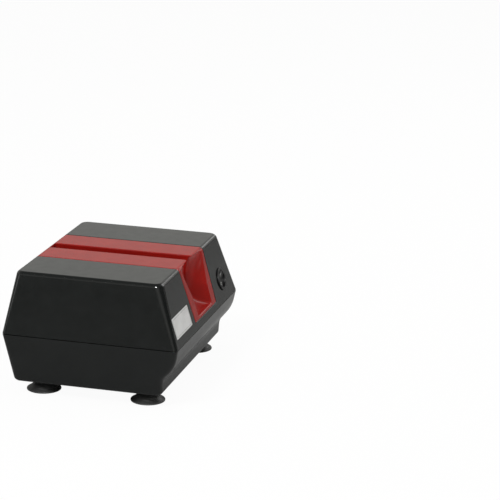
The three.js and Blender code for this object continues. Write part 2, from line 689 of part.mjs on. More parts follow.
const backOut = vector(-1, 0, 0).cross(backUp);
const grommetX = grommet.sideRoom - bodyWidth / 2;
const inletFrame = new THREE.Matrix4().makeBasis(vector(-1, 0, 0), backUp, backOut)
  .setPosition(grommetX, mix(baseBackY, backY, grommet.rise / lowerHeight), undersideHeight + grommet.rise);
const onBack = (geometry) => toSolid(geometry.applyMatrix4(inletFrame));
const innerLip = { height: 2.4, thickness: 1.3 };

{
  const top = partingHeight - seam / 2;
  const tub = cut(lowerForm(0, undersideHeight, top), lowerForm(wall, floorTop, top + overrun));
  const lipIn = wall + fit;
  const raised = cut(
    upperForm(lipIn, top - innerLip.height).intersect(toSolid(block(
      vector(-bodyWidth, -bodyDepth, top - innerLip.height), vector(bodyWidth, bodyDepth, top + innerLip.height),
    ))),
    upperForm(lipIn + innerLip.thickness, top - innerLip.height * 2),
  );
  const towers = towerPlaces.map(([, x, y]) =>
    toSolid(turned(rod(tower.radius, undersideHeight + wall / 2, top), 'z', vector(x, y, 0), smallSteps)));
  const shelf = top - tower.seatDrop;
  const towerCuts = towerPlaces.flatMap(([, x, y]) => [
    toSolid(turned(rod(tower.bore, undersideHeight - overrun, shelf), 'z', vector(x, y, 0), smallSteps)),
    toSolid(turned(rod(tower.hole, shelf - overrun, top + overrun), 'z', vector(x, y, 0), smallSteps)),
  ]);
  const postRod = rod(post.radius, undersideHeight + wall / 2, plateFoot - fit);
  const posts = sides.flatMap(([, sign]) => postPlaces.map(([, y]) =>
    toSolid(turned(postRod, 'z', vector(sign * postX, y, 0), smallSteps))));
  const postHoles = sides.flatMap(([, sign]) => postPlaces.map(([, y]) =>
    toSolid(turned(rod(post.hole, floorTop, plateFoot), 'z', vector(sign * postX, y, 0), smallSteps))));
  const footHoles = footPlaces.map(([, x, y]) => toSolid(turned(
    rod(foot.hole + fit, undersideHeight - overrun, floorTop + overrun), 'z', vector(x, y, 0),
  )));
  const vents = Array.from({ length: vent.count }, (_, i) => {
    const x = motorX + (i - (vent.count - 1) / 2) * vent.pitch;
    const half = vent.width / 2;
    const slot = rectangle(x - half, stackY - vent.pastStack, x + half, stackEndY + vent.pastStack, half);
    return toSolid(pushed(slot, 'z', undersideHeight - overrun, floorTop + overrun, slotSteps));
  });
  const inletHole = onBack(turned(rod(grommet.hole + fit, -wall * 2, overrun), 'z', origin));
  const inside = lowerForm(wall / 2, floorTop - wall / 2, top);
  piece('base_housing', cut(
    join(tub, raised, join(...towers, ...posts).intersect(inside)),
    ...towerCuts, ...postHoles, ...footHoles, ...vents, inletHole,
  ), blackPlastic);
  towerPlaces.forEach(([place, x, y]) => {
    const seat = vector(x, y, shelf - fit);
    piece(`shell_screw_${place}`, screwSolid(shellScrew, 'z', seat, -1), steel);
  });
}

// Suction feet
const cup = { rimHeight: 1, waist: 6.2, hollow: 4.4, flangeRadius: 8.5, flange: 1.4, bulb: 4.8, bulbHeight: 3 };
const cupShares = { vault: 0.55, vaultHeight: 0.75, bell: 0.8, bellHeight: 0.5, bulbTip: 0.6 };
{
  const flangeTop = undersideHeight - fit;
  const above = floorTop + fit;
  const profile = [
    [0, cup.hollow], [foot.radius * cupShares.vault, cup.hollow * cupShares.vaultHeight],
    [foot.radius - foot.rim, 0], [foot.radius, 0], [foot.radius, cup.rimHeight],
    [foot.radius * cupShares.bell, foot.cupHeight * cupShares.bellHeight], [cup.waist, foot.cupHeight],
    [cup.waist, flangeTop - cup.flange],
    [cup.flangeRadius, flangeTop - cup.flange], [cup.flangeRadius, flangeTop],
    [foot.hole, flangeTop], [foot.hole, above], [cup.bulb, above],
    [foot.hole * cupShares.bulbTip, above + cup.bulbHeight], [0, above + cup.bulbHeight],
  ];
  footPlaces.forEach(([place, x, y]) => {
    piece(`suction_foot_${place}`, toSolid(turned(profile, 'z', vector(x, y, 0))), blackRubber);
  });
}

// Bearing plates: each stands on a bent foot, and a notch lets the blade through
{
  const notch = axisHeight + plate.notchDrop;
  const top = axisHeight + plate.top;
  const outline = (right, rightTop) => roundedShape([
    [-right, plateFoot, 0],
    [plate.half, plateFoot, 0],
    [plate.half, axisHeight, plate.corner],
    [plate.half - plate.shoulder, top, plate.corner],
    [plate.notchHalf, top, plate.corner / 2],
    [plate.notchHalf, notch, plate.corner],
    [-plate.notchHalf, notch, plate.corner],
    [-plate.notchHalf, top, plate.corner / 2],
    [-plate.half + plate.shoulder, top, plate.corner],
    [-right, rightTop, plate.corner],
  ]);
  const bushHoles = (y) => sides.map(([, sign]) => toSolid(turned(
    rod(bush.outer + fit, y - overrun, y + plate.thickness + overrun), 'y',
    vector(sign * halfSpacing, 0, axisHeight),
  )));
  const bentFoot = (from, to) => toSolid(block(
    vector(-plate.half, from, plateFoot), vector(plate.half, to, plateFoot + plate.thickness),
  ));
  const holes = (y) => sides.map(([, sign]) => toSolid(turned(
    rod(post.hole + fit, plateFoot - overrun, plateFoot + plate.thickness + overrun), 'z',
    vector(sign * postX, y, 0), smallSteps,
  )));
  const frontFoot = bentFoot(frontPlateY, frontPlateY + plate.thickness + plate.flangeDepth);
  const frontOutline = outline(plate.half, axisHeight);
  const front = toSolid(pushed(frontOutline, 'y', frontPlateY, frontPlateY + plate.thickness));
  piece('front_bearing_plate', cut(
    join(front, frontFoot), ...bushHoles(frontPlateY), ...holes(postPlaces[0][1]),
  ), steel);
  const rearRight = motorX + screwX + plate.holeRoom;
  const rearTop = motorZ + motor.screwZ + plate.holeRoom;
  const rear = toSolid(pushed(outline(rearRight, rearTop), 'y', rearPlateY, rearPlateY + plate.thickness));
  const rearFoot = bentFoot(rearPlateY - plate.flangeDepth, rearPlateY + plate.thickness);
  const motorHoles = [-1, 1].map((sign) => toSolid(turned(
    rod(motor.screwHole, rearPlateY - overrun, rearPlateY + plate.thickness + overrun), 'y',
    vector(motorX + sign * screwX, 0, motorZ + sign * motor.screwZ), smallSteps,
  )));
  piece('rear_bearing_plate', cut(
    join(rear, rearFoot), ...bushHoles(rearPlateY), ...holes(postPlaces[1][1]), ...motorHoles,
  ), steel);
  const screwSeat = plateFoot + plate.thickness + fit;
  const screw = { ...plateScrew, length: screwSeat - floorTop - plate.screwRoom };
  sides.forEach(([side, sign]) => postPlaces.forEach(([end, y]) => {
    piece(`plate_screw_${end}_${side}`, screwSolid(screw, 'z', vector(sign * postX, y, screwSeat), 1), steel);
  }));
}

// Shaft bushes, pressed into the plates with their flanges towards the wheels
const bushBore = shaftRadius + bush.running;
sides.forEach(([side, sign]) => {
  const centre = vector(sign * halfSpacing, 0, axisHeight);
  const inner = frontPlateY + plate.thickness + fit;
  const front = [
    [bushBore, inner - bush.sleeve], [bush.outer, inner - bush.sleeve], [bush.outer, inner],
    [bush.flangeRadius, inner], [bush.flangeRadius, inner + bush.flange], [bushBore, inner + bush.flange],
    [bushBore, inner - bush.sleeve],
  ];
  piece(`front_bush_${side}`, toSolid(turned(front, 'y', centre)), bronze);
  const mirrored = rearPlateY - fit;
  const rear = [
    [bushBore, mirrored - bush.flange], [bush.flangeRadius, mirrored - bush.flange],
    [bush.flangeRadius, mirrored], [bush.outer, mirrored], [bush.outer, mirrored + bush.sleeve],
    [bushBore, mirrored + bush.sleeve], [bushBore, mirrored - bush.flange],
  ];
  piece(`rear_bush_${side}`, toSolid(turned(rear, 'y', centre)), bronze);
});

// Two wheel sets: a shaft, a grinding wheel, a gear and a clip at each end
const rightPhase = Math.PI;
const leftPhase = meshPhase(wheelGearTeeth, rightPhase, Math.PI, wheelGearTeeth);
sides.forEach(([side, sign]) => {
  const centre = vector(sign * halfSpacing, 0, axisHeight);
  const shaftProfile = [
    [0, shaftFrontY], [shaftRadius - chamfer, shaftFrontY], [shaftRadius, shaftFrontY + chamfer],
    [shaftRadius, shaftBackY - chamfer], [shaftRadius - chamfer, shaftBackY], [0, shaftBackY],
  ];
  piece(`wheel_shaft_${side}`, toSolid(turned(shaftProfile, 'y', centre)), steel);
  const rings = wheelProfile(sign > 0 ? 0 : 0.5);
  piece(`grinding_wheel_${side}`, toSolid(turned(rings, 'y', centre, wheelSteps)), abrasive);
  const phase = sign > 0 ? rightPhase : leftPhase;
  const teeth = gearShape(wheelGearTeeth, Math.PI - phase, shaftRadius + fit);
  const gearEndY = gearY + gear.width;
  const toothed = pushed(teeth, 'y', gearY, gearEndY, roundSteps / 2).translate(centre.x, 0, centre.z);
  const hubProfile = ring(shaftRadius + fit, gear.hubRadius, gearY + gear.width / 2, gearEndY + gear.hubLength);
  const hub = turned(hubProfile, 'y', centre);
  const webProfile = ring(gear.hubRadius, gear.webRadius, gearEndY - gear.webDepth, gearEndY + overrun);
  const webCut = turned(webProfile, 'y', centre);
  piece(`wheel_gear_${side}`, join(cut(toSolid(toothed), toSolid(webCut)), toSolid(hub)), whiteNylon);
  const clipFrom = shaftFrontY + clip.gap;
  const clipTo = gearEndY + gear.hubLength + clip.gap;
  piece(`front_clip_${side}`, toSolid(turned(
    ring(shaftRadius + fit, clip.outer, clipFrom, clipFrom + clip.thickness), 'y', centre)), steel);
  piece(`rear_clip_${side}`, toSolid(turned(
    ring(shaftRadius + fit, clip.outer, clipTo, clipTo + clip.thickness), 'y', centre)), steel);
});

// Motor: laminated stack, coil on a bobbin, rotor, shaft, pinion, fan and two bearing brackets
const bracket = { width: 12, thickness: 1.8, rise: 7, padHalf: 4.6, bossHalf: 8, bend: 1 };
const bracketBush = { outer: 4.4, length: 5, running: 0.1 };
const fan = {
  radius: 18, hub: 6, width: 6, bladeCount: 7, bladeWidth: 5.4, bladeThickness: 1.2, bladeRoot: 1, gap: 2.6,
  pitchDegrees: 38,
};
const bobbin = {
  wall: 1.2, gap: 0.35, flange: 1.5, height: 31, holeCorner: 0.5, sleeveCorner: 1.5, flangeCorner: 4,
  windingCorner: 5,
};
const motorScrew = { headRadius: 3, headHeight: 2.2, shankRadius: motor.screwRadius };
const nut = { radius: 3.4, height: 2.4, proud: 0.6 };
const spacerWall = 1.6;
{
  const halfHeight = motor.stackHeight / 2;
  const outline = rectangle(
    -stackRight, motorZ - halfHeight, -stackLeft, motorZ + halfHeight, motor.stackCorner,
  );
  const legInner = stackRight - sideSpan * motor.legShare;
  const windowInner = legInner - sideSpan * motor.windowShare;
  const windowShape = rectangle(-legInner, motorZ - motor.windowHeight / 2, -windowInner,
    motorZ + motor.windowHeight / 2, motor.windowCorner);
  outline.holes.push(windowShape);
  const centre = vector(motorX, 0, motorZ);
  const through = (radius, place, steps) =>
    toSolid(turned(rod(radius, stackY - overrun, stackEndY + overrun), 'y', place, steps));
  const stackHoles = [-1, 1].map((sign) => through(
    motor.screwHole, vector(motorX + sign * screwX, 0, motorZ + sign * motor.screwZ), smallSteps,
  ));
  piece('stator_stack', cut(
    toSolid(pushed(outline, 'y', stackY, stackEndY)), through(boreRadius, centre), ...stackHoles,
  ), lamination);

  const legBox = (grow, radius) => rectangle(
    legInner - grow, stackY - grow, stackRight + grow, stackEndY + grow, radius);
  const sleeveIn = bobbin.gap;
  const sleeveOut = bobbin.gap + bobbin.wall;
  const low = motorZ - bobbin.height / 2;
  const high = motorZ + bobbin.height / 2;
  const legHole = toSolid(pushed(legBox(sleeveIn, bobbin.holeCorner), 'z', low - overrun, high + overrun));
  const sleeve = toSolid(pushed(legBox(sleeveOut, bobbin.sleeveCorner), 'z', low, high));
  const flanges = [low, high - bobbin.flange].map((z) =>
    toSolid(pushed(legBox(coilOverhang, bobbin.flangeCorner), 'z', z, z + bobbin.flange)));
  piece('coil_bobbin', cut(join(sleeve, ...flanges), legHole), amberPlastic);
  const windingHole = toSolid(pushed(legBox(sleeveOut + fit, bobbin.sleeveCorner + fit), 'z', low, high));
  const winding = toSolid(pushed(
    legBox(coilOverhang - fit * 2, bobbin.windingCorner), 'z',
    low + bobbin.flange + fit, high - bobbin.flange - fit,
  ));
  piece('motor_coil', cut(winding, windingHole), copper);

  const core = ring(motorShaftRadius + fit, boreRadius - motor.airGap, stackY, stackEndY);
  piece('rotor_core', toSolid(turned(core, 'y', centre)), steel);
  const pinionPhase = meshPhase(wheelGearTeeth, rightPhase, meshAngle, pinionTeeth);
  const pinionShape = gearShape(pinionTeeth, Math.PI - pinionPhase, motorShaftRadius + fit);
  const pinion = pushed(pinionShape, 'y', gearY, gearY + gear.width + motor.pinionExtra, boreSteps);
  piece('motor_pinion', toSolid(pinion.translate(centre.x, 0, centre.z)), bronze);
  const shaftEnd = stackEndY + bracket.rise + bracket.thickness + fan.gap + fan.width;
  piece('motor_shaft', toSolid(turned(
    rod(motorShaftRadius, gearY - clip.gap, shaftEnd + motor.shaftTip), 'y', centre)), steel);

  const reach = Math.hypot(screwX, motor.screwZ);
  const bridge = roundedShape([
    [-reach - bracket.padHalf, 0, 0], [-reach + bracket.padHalf, 0, 0],
    [-bracket.bossHalf, bracket.rise, bracket.bend], [bracket.bossHalf, bracket.rise, bracket.bend],
    [reach - bracket.padHalf, 0, 0], [reach + bracket.padHalf, 0, 0],
    [reach + bracket.padHalf, bracket.thickness, 0],
    [reach - bracket.padHalf + bracket.bend, bracket.thickness, bracket.bend],
    [bracket.bossHalf + bracket.bend, bracket.rise + bracket.thickness, bracket.bend],
    [-bracket.bossHalf - bracket.bend, bracket.rise + bracket.thickness, bracket.bend],
    [-reach + bracket.padHalf - bracket.bend, bracket.thickness, bracket.bend],
    [-reach - bracket.padHalf, bracket.thickness, 0],
  ]);
  const along = vector(screwX, 0, motor.screwZ).normalize();
  [['front', -1, stackY - fit], ['rear', 1, stackEndY + fit]].forEach(([end, sign, y]) => {
    const outward = vector(0, sign, 0);
    const frame = new THREE.Matrix4().makeBasis(along, outward, along.clone().cross(outward))
      .setPosition(motorX, y, motorZ);
    const strip = pushed(bridge, 'z', -bracket.width / 2, bracket.width / 2, slotSteps);
    const placed = toSolid(strip.applyMatrix4(frame));
    const seatY = y + sign * bracket.rise;
    const bore = toSolid(turned(rod(bracketBush.outer + fit, seatY - bracketBush.length,
      seatY + bracketBush.length), 'y', centre));
    const screwHoles = [-1, 1].map((way) => toSolid(turned(
      rod(motor.screwHole, y - bracket.rise, y + bracket.rise), 'y',
      vector(motorX + way * screwX, 0, motorZ + way * motor.screwZ), smallSteps)));
    piece(`motor_bracket_${end}`, cut(placed, bore, ...screwHoles), steel);
    const middle = seatY + (sign * bracket.thickness) / 2;
    piece(`motor_bush_${end}`, toSolid(turned(ring(motorShaftRadius + bracketBush.running, bracketBush.outer,
      middle - bracketBush.length / 2, middle + bracketBush.length / 2), 'y', centre)), bronze);
  });

  const fanY = shaftEnd - fan.width;
  const fanHub = toSolid(turned(ring(motorShaftRadius + fit, fan.hub, fanY, shaftEnd), 'y', centre));
  const blades = Array.from({ length: fan.bladeCount }, (_, i) => {
    const rootRadius = fan.hub - fan.bladeRoot;
    const blade = new THREE.BoxGeometry(fan.radius - rootRadius, fan.bladeWidth, fan.bladeThickness);
    blade.rotateX(degrees(fan.pitchDegrees));
    blade.translate((fan.radius + rootRadius) / 2, 0, 0).rotateY((i * 2 * Math.PI) / fan.bladeCount);
    return toSolid(blade.translate(centre.x, fanY + fan.width / 2, centre.z));
  });
  piece('cooling_fan', join(fanHub, ...blades), whiteNylon);

  const headSeat = stackEndY + fit + bracket.thickness + fit;
  const nutBack = rearPlateY - fit;
  const screwEnd = nutBack - nut.height - nut.proud;
  const spacerFrom = rearPlateY + plate.thickness + fit;
  const spacerTo = stackY - fit * 2 - bracket.thickness;
  [-1, 1].forEach((way) => {
    const place = vector(motorX + way * screwX, 0, motorZ + way * motor.screwZ);
    const name = way < 0 ? 'lower' : 'upper';
    const screw = screwSolid({ ...motorScrew, length: headSeat - screwEnd }, 'y',
      vector(place.x, headSeat, place.z), 1);
    piece(`motor_screw_${name}`, screw, steel);
    piece(`motor_spacer_${name}`, toSolid(turned(
      ring(motor.screwHole, motor.screwHole + spacerWall, spacerFrom, spacerTo), 'y', place, smallSteps,
    )), steel);
    const nutRing = ring(motor.screwRadius + fit, nut.radius, nutBack - nut.height, nutBack);
    piece(`motor_nut_${name}`, toSolid(turned(nutRing, 'y', place, nutSteps)), steel);
  });
}

// Power switch: a round snap-in housing and its rocker
const paddle = { radius: 7.9, gap: 0.4, pivotDepth: 1, tiltDegrees: 10, crown: 2.2, thickness: 4.6, taper: 1.7 };
const tab = { spread: 4, thickness: 0.8, width: 6.4, length: 8 };
{
  const tub = onSlope(turned([
    [0, -rocker.tubDepth], [rocker.tubRadius, -rocker.tubDepth], [rocker.tubRadius, fit],
    [rocker.bezelRadius, fit], [rocker.bezelRadius, rocker.bezelHeight - rocker.bezelRound],
    [rocker.bezelRadius - rocker.bezelRound, rocker.bezelHeight],
    [paddle.radius + paddle.gap + rocker.wellDraft, rocker.bezelHeight],
    [paddle.radius + paddle.gap, -rocker.wellDepth], [0, -rocker.wellDepth],
  ], 'z', origin, wheelSteps));
  piece('switch_housing', tub, blackPlastic);
  // Two faces meet in a shallow V across the middle. At rest the lower face is pressed in.
  const wedge = new THREE.Shape();
  const span = paddle.radius + overrun;
  const lift = Math.tan(degrees(paddle.tiltDegrees)) * span;
  wedge.moveTo(-span, lift);
  wedge.lineTo(0, 0);
  wedge.lineTo(span, lift);
  wedge.lineTo(span, -paddle.thickness);
  wedge.lineTo(-span, -paddle.thickness);
  wedge.closePath();
  const faces = new THREE.ExtrudeGeometry(wedge, { depth: span * 2, bevelEnabled: false });
  faces.applyMatrix4(planes.x).translate(-span, 0, 0);
  const round = turned([
    [0, -paddle.thickness], [paddle.radius - paddle.taper, -paddle.thickness], [paddle.radius, 0],
    [paddle.radius, paddle.crown], [0, paddle.crown],
  ], 'z', origin, wheelSteps);
  const button = toGeometry(toSolid(faces).intersect(toSolid(round)));
  button.rotateX(degrees(paddle.tiltDegrees)).translate(0, 0, -paddle.pivotDepth);
  piece('switch_rocker', onSlope(button), blackPlastic);
  sides.forEach(([side, sign]) => {
    const seat = -rocker.tubDepth - fit;
    piece(`switch_terminal_${side}`, onSlope(block(
      vector(sign * tab.spread - tab.thickness / 2, -tab.width / 2, seat - tab.length),
      vector(sign * tab.spread + tab.thickness / 2, tab.width / 2, seat),
    )), bronze);
  });
}

// Mains inlet bushing in the back of the base
piece('inlet_grommet', onBack(turned([
  [grommet.bore, -wall - grommet.innerDepth], [grommet.innerFlange, -wall - grommet.innerDepth],
  [grommet.innerFlange, -wall - fit], [grommet.hole, -wall - fit], [grommet.hole, fit], [grommet.flange, fit],
  [grommet.flange - grommet.edge, grommet.flangeHeight], [grommet.bore + grommet.leadIn, grommet.flangeHeight],
  [grommet.bore, grommet.flangeHeight - grommet.leadIn], [grommet.bore, -wall - grommet.innerDepth],
], 'z', origin)), blackRubber);

// Terminal block on the floor by the inlet
const terminal = { aside: 4, backRoom: 33.85, width: 22, depth: 12, height: 11, bore: 1.5, count: 2, pitch: 9 };
{
  const centre = vector(grommetX + terminal.aside, backY - terminal.backRoom, 0);
  const low = vector(centre.x - terminal.width / 2, centre.y - terminal.depth / 2, floorTop + fit);
  const high = vector(centre.x + terminal.width / 2, centre.y + terminal.depth / 2, floorTop + terminal.height);
  const bores = Array.from({ length: terminal.count }, (_, i) => {
    const x = centre.x + (i - (terminal.count - 1) / 2) * terminal.pitch;
    const bore = rod(terminal.bore, low.y - overrun, high.y + overrun);
    return toSolid(turned(bore, 'y', vector(x, 0, floorTop + terminal.height / 2), smallSteps));
  });
  piece('terminal_block', cut(toSolid(block(low, high)), ...bores), whiteNylon);
}

export default sharpener;
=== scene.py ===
import json
import math

import bmesh
import bpy
from mathutils import Matrix, Vector

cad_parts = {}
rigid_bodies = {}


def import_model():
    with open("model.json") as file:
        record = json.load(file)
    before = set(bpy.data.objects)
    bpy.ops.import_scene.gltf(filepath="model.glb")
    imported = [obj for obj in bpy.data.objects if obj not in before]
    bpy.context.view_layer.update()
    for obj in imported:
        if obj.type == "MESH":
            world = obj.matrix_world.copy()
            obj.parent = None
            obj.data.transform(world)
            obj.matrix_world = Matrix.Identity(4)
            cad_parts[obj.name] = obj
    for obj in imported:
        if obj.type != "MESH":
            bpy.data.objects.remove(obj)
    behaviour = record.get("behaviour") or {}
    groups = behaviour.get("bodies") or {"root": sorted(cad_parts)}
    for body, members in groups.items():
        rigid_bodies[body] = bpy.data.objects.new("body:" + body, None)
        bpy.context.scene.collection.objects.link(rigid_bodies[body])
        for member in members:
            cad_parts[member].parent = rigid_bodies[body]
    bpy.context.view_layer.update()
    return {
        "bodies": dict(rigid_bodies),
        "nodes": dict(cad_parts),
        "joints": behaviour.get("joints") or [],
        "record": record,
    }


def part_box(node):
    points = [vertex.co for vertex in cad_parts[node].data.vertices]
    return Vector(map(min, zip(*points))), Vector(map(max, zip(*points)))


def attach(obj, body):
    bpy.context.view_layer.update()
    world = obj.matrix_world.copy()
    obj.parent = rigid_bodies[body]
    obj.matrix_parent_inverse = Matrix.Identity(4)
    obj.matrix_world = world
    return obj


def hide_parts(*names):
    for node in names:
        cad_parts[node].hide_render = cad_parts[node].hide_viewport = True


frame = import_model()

nodes = frame["nodes"]
for name in ("Cube", "Light", "Camera"):
    if name in bpy.data.objects:
        bpy.data.objects.remove(bpy.data.objects[name])
print("frame loaded:", len(nodes), "nodes")

# Camera, solved from the corners of the housing and the feet
view = {
    "place": (-1.8283, -0.5943, 0.6669),
    "forward": (0.9312, 0.2402, -0.2744),
    "rollDegrees": 1.22,
    "lens": 152.8,
    "sensor": 36.0,
    "clipEnd": 20,
}


def addCamera():
    forward = Vector(view["forward"]).normalized()
    right = forward.cross(Vector((0, 0, 1))).normalized()
    up = right.cross(forward)
    roll = math.radians(view["rollDegrees"])
    rolledRight = right * math.cos(roll) + up * math.sin(roll)
    rolledUp = up * math.cos(roll) - right * math.sin(roll)
    turn = Matrix((rolledRight, rolledUp, -forward)).transposed().to_4x4()
    data = bpy.data.cameras.new("camera")
    data.lens = view["lens"]
    data.sensor_width = view["sensor"]
    data.clip_end = view["clipEnd"]
    camera = bpy.data.objects.new("camera", data)
    camera.matrix_world = Matrix.Translation(view["place"]) @ turn
    bpy.context.scene.collection.objects.link(camera)
    bpy.context.scene.camera = camera


addCamera()

# Sizes are in millimetres, and meshes are scaled to metres as they are made
mm = 0.001
shellLow, shellHigh = (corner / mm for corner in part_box("top_housing"))

form = {
    "width": shellHigh.x - shellLow.x,
    "depth": shellHigh.y - shellLow.y,
    "height": shellHigh.z,
    "parting": 56.9,
    "seam": 0.5,
    "topWidth": 186.4,
    "topFront": -65.6,
    "topBack": 73.1,
    "wall": 2.6,
    "cornerLow": 4.0,
    "cornerHigh": 8.0,
    "edgeRound": 3.2,
    "leastRound": 0.8,
    "cornerSteps": 10,
    "edgeSteps": 8,
    "partingRound": 0.45,
    "partingSteps": 4,
    "beyond": 2.0,  # how far a cutter reaches past a surface
    "holeIn": 6.0,  # how far a drill reaches in and out of a wall
    "holeOut": 3.0,
}
form["rise"] = form["height"] - form["parting"]
slopeUp = Vector((0, form["topFront"] + form["depth"] / 2, form["rise"])).normalized()
slopeOut = Vector((1, 0, 0)).cross(slopeUp)


def mix(low, high, share):
    return low + (high - low) * share


def riseShare(height):  # 0 at the parting line and 1 at the top
    return (height - form["parting"]) / form["rise"]


def frontAt(height):  # y of the front slope at a height
    return mix(-form["depth"] / 2, form["topFront"], riseShare(height))


def curved(start, bend, end, steps):  # points of a quadratic curve
    start, bend, end = Vector(start), Vector(bend), Vector(end)
    shares = [i / steps for i in range(steps + 1)]
    return [start * (1 - share) ** 2 + bend * 2 * share * (1 - share) + end * share * share for share in shares]


def quarterTurn(steps):  # angles from 0 to a quarter turn
    return [math.pi / 2 * i / steps for i in range(steps + 1)]


# Mesh makers

meshing = {"weld": 0.0005, "weldAfterCut": 0.002, "flatDegrees": 0.05, "normalWeight": 100}


def meshPiece(name, points, faces):
    mesh = bpy.data.meshes.new(name)
    mesh.from_pydata([tuple(number * mm for number in point) for point in points], [], faces)
    mesh.validate()
    piece = bpy.data.objects.new(name, mesh)
    bpy.context.scene.collection.objects.link(piece)
    return piece


def outward(piece):  # turns the faces so that they all point out
    work = bmesh.new()
    work.from_mesh(piece.data)
    bmesh.ops.recalc_face_normals(work, faces=work.faces)
    work.to_mesh(piece.data)
    work.free()
    return piece


def loft(name, rings, closed=False, mirrored=False):  # joins rings; closed joins the last to the first too
    count = len(rings[0])
    points = [point for ring in rings for point in ring]
    faces = []
    spans = len(rings) if closed else len(rings) - 1
    for level in range(spans):
        low = level * count
        high = (level + 1) % len(rings) * count
        for i in range(count):
            j = (i + 1) % count
            faces.append((low + i, low + j, high + j, high + i))
    last = (len(rings) - 1) * count
    if mirrored:  # the ends are strips from side to side, so that a bent ring is closed well
        for i in range(count // 2 - 1):
            strip = (i, i + 1, count - 2 - i, count - 1 - i)
            faces.append(tuple(reversed(strip)))
            faces.append(tuple(last + corner for corner in strip))
    elif not closed:
        faces.append(tuple(reversed(range(count))))
        faces.append(tuple(range(last, last + count)))
    return outward(meshPiece(name, points, faces))


def turned(name, profile, steps, place=Matrix.Identity(4)):  # profile of (radius, height) about local Z
    rings = []
    for i in range(steps):
        angle = 2 * math.pi * i / steps
        across, along = math.cos(angle), math.sin(angle)
        rings.append([place @ Vector((radius * across, radius * along, height)) for radius, height in profile])
    points = [point for ring in rings for point in ring]
    count = len(profile)
    faces = []
    for i in range(steps):
        here, there = i * count, (i + 1) % steps * count
        for level in range(count):
            above = (level + 1) % count
            faces.append((here + level, there + level, there + above, here + above))
    piece = meshPiece(name, points, faces)
    weld = meshing["weld"] * mm
    work = bmesh.new()
    work.from_mesh(piece.data)
    bmesh.ops.remove_doubles(work, verts=work.verts, dist=weld)
    bmesh.ops.dissolve_degenerate(work, dist=weld, edges=work.edges)
    bmesh.ops.recalc_face_normals(work, faces=work.faces)
    work.to_mesh(piece.data)
    work.free()
    return piece


def bar(name, radius, low, high, steps, place):  # a plain round bar, to join or to drill with
    return turned(name, [(0, low), (radius, low), (radius, high), (0, high)], steps, place)


def box(name, low, high):
    xs, ys, zs = zip(low, high)
    points = [(x, y, z) for z in zs for y in ys for x in xs]
    faces = [(0, 2, 3, 1), (4, 5, 7, 6), (0, 1, 5, 4), (2, 6, 7, 3), (0, 4, 6, 2), (1, 3, 7, 5)]
    return meshPiece(name, points, faces)


def roundedOutline(corners, steps=6):  # corners of (x, y, radius), rounded with curves
    outline = []
    count = len(corners)
    for i, (x, y, radius) in enumerate(corners):
        here = Vector((x, y))
        before = Vector(corners[i - 1][:2])
        after = Vector(corners[(i + 1) % count][:2])
        if radius == 0:
            outline.append(here)
            continue
        start = here + (before - here).normalized() * radius
        end = here + (after - here).normalized() * radius
        outline += curved(start, here, end, steps)
    return outline


def prism(name, outline, axis, start, end):  # an outline pushed along Y or Z
    def level(along):
        return [(x, along, y) if axis == "y" else (x, y, along) for x, y in outline]
    return loft(name, [level(start), level(end)])


def settle(piece):  # applies the modifiers
    bpy.context.view_layer.update()
    graph = bpy.context.evaluated_depsgraph_get()
    made = bpy.data.meshes.new_from_object(piece.evaluated_get(graph))
    old = piece.data
    piece.modifiers.clear()
    piece.data = made
    bpy.data.meshes.remove(old)
    return piece


def combine(piece, operation, *tools):
    for tool in tools:
        modifier = piece.modifiers.new("combine", "BOOLEAN")
        modifier.operation = operation
        modifier.solver = "MANIFOLD"
        modifier.object = tool
    settle(piece)
    for tool in tools:
        mesh = tool.data
        bpy.data.objects.remove(tool)
        bpy.data.meshes.remove(mesh)
    return piece


def cut(piece, *tools):
    return combine(piece, "DIFFERENCE", *tools)


def join(piece, *tools):
    return combine(piece, "UNION", *tools)


def keepInside(piece, tool):
    return combine(piece, "INTERSECT", tool)


def softenEdges(piece, chosen, radius, segments=3, leastDegrees=40):  # rounds the sharp edges that are chosen
    work = bmesh.new()
    work.from_mesh(piece.data)
    bmesh.ops.remove_doubles(work, verts=work.verts, dist=meshing["weldAfterCut"] * mm)
    flat = math.radians(meshing["flatDegrees"])
    bmesh.ops.dissolve_limit(work, angle_limit=flat, verts=work.verts, edges=work.edges)
    least = math.radians(leastDegrees)
    edges = []
    for edge in work.edges:
        if len(edge.link_faces) != 2 or edge.calc_face_angle(0) < least:
            continue
        middle = (edge.verts[0].co + edge.verts[1].co) / (2 * mm)
        if chosen(middle):
            edges.append(edge)
    bmesh.ops.bevel(
        work, geom=edges, offset=radius * mm, offset_type="OFFSET", segments=segments, profile=0.5,
        affect="EDGES", clamp_overlap=False,
    )
    work.to_mesh(piece.data)
    work.free()
    return piece


def smooth(piece, degrees=32):  # smooth shading that keeps flat faces flat and sharp edges sharp
    for polygon in piece.data.polygons:
        polygon.use_smooth = True
    piece.data.set_sharp_from_angle(angle=math.radians(degrees))
    modifier = piece.modifiers.new("normals", "WEIGHTED_NORMAL")
    modifier.keep_sharp = True
    modifier.weight = meshing["normalWeight"]
    return settle(piece)


def dress(piece, material, body="housing", stands=()):
    piece.data.materials.clear()
    piece.data.materials.append(material)
    for polygon in piece.data.polygons:
        polygon.material_index = 0
    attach(piece, body)
    if stands:
        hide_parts(*stands)
    return piece


# Materials

def newMaterial(name, color, roughness, metallic=0.0):
    material = bpy.data.materials.new(name)
    material.use_nodes = True
    shader = material.node_tree.nodes["Principled BSDF"]
    shader.inputs["Base Color"].default_value = (*color, 1)
    shader.inputs["Roughness"].default_value = roughness
    shader.inputs["Metallic"].default_value = metallic
    return material, material.node_tree, shader


def addNode(tree, kind, values=None, **settings):
    node = tree.nodes.new("ShaderNode" + kind)
    for key, value in settings.items():
        setattr(node, key, value)
    for key, value in (values or {}).items():
        node.inputs[key].default_value = value
    return node


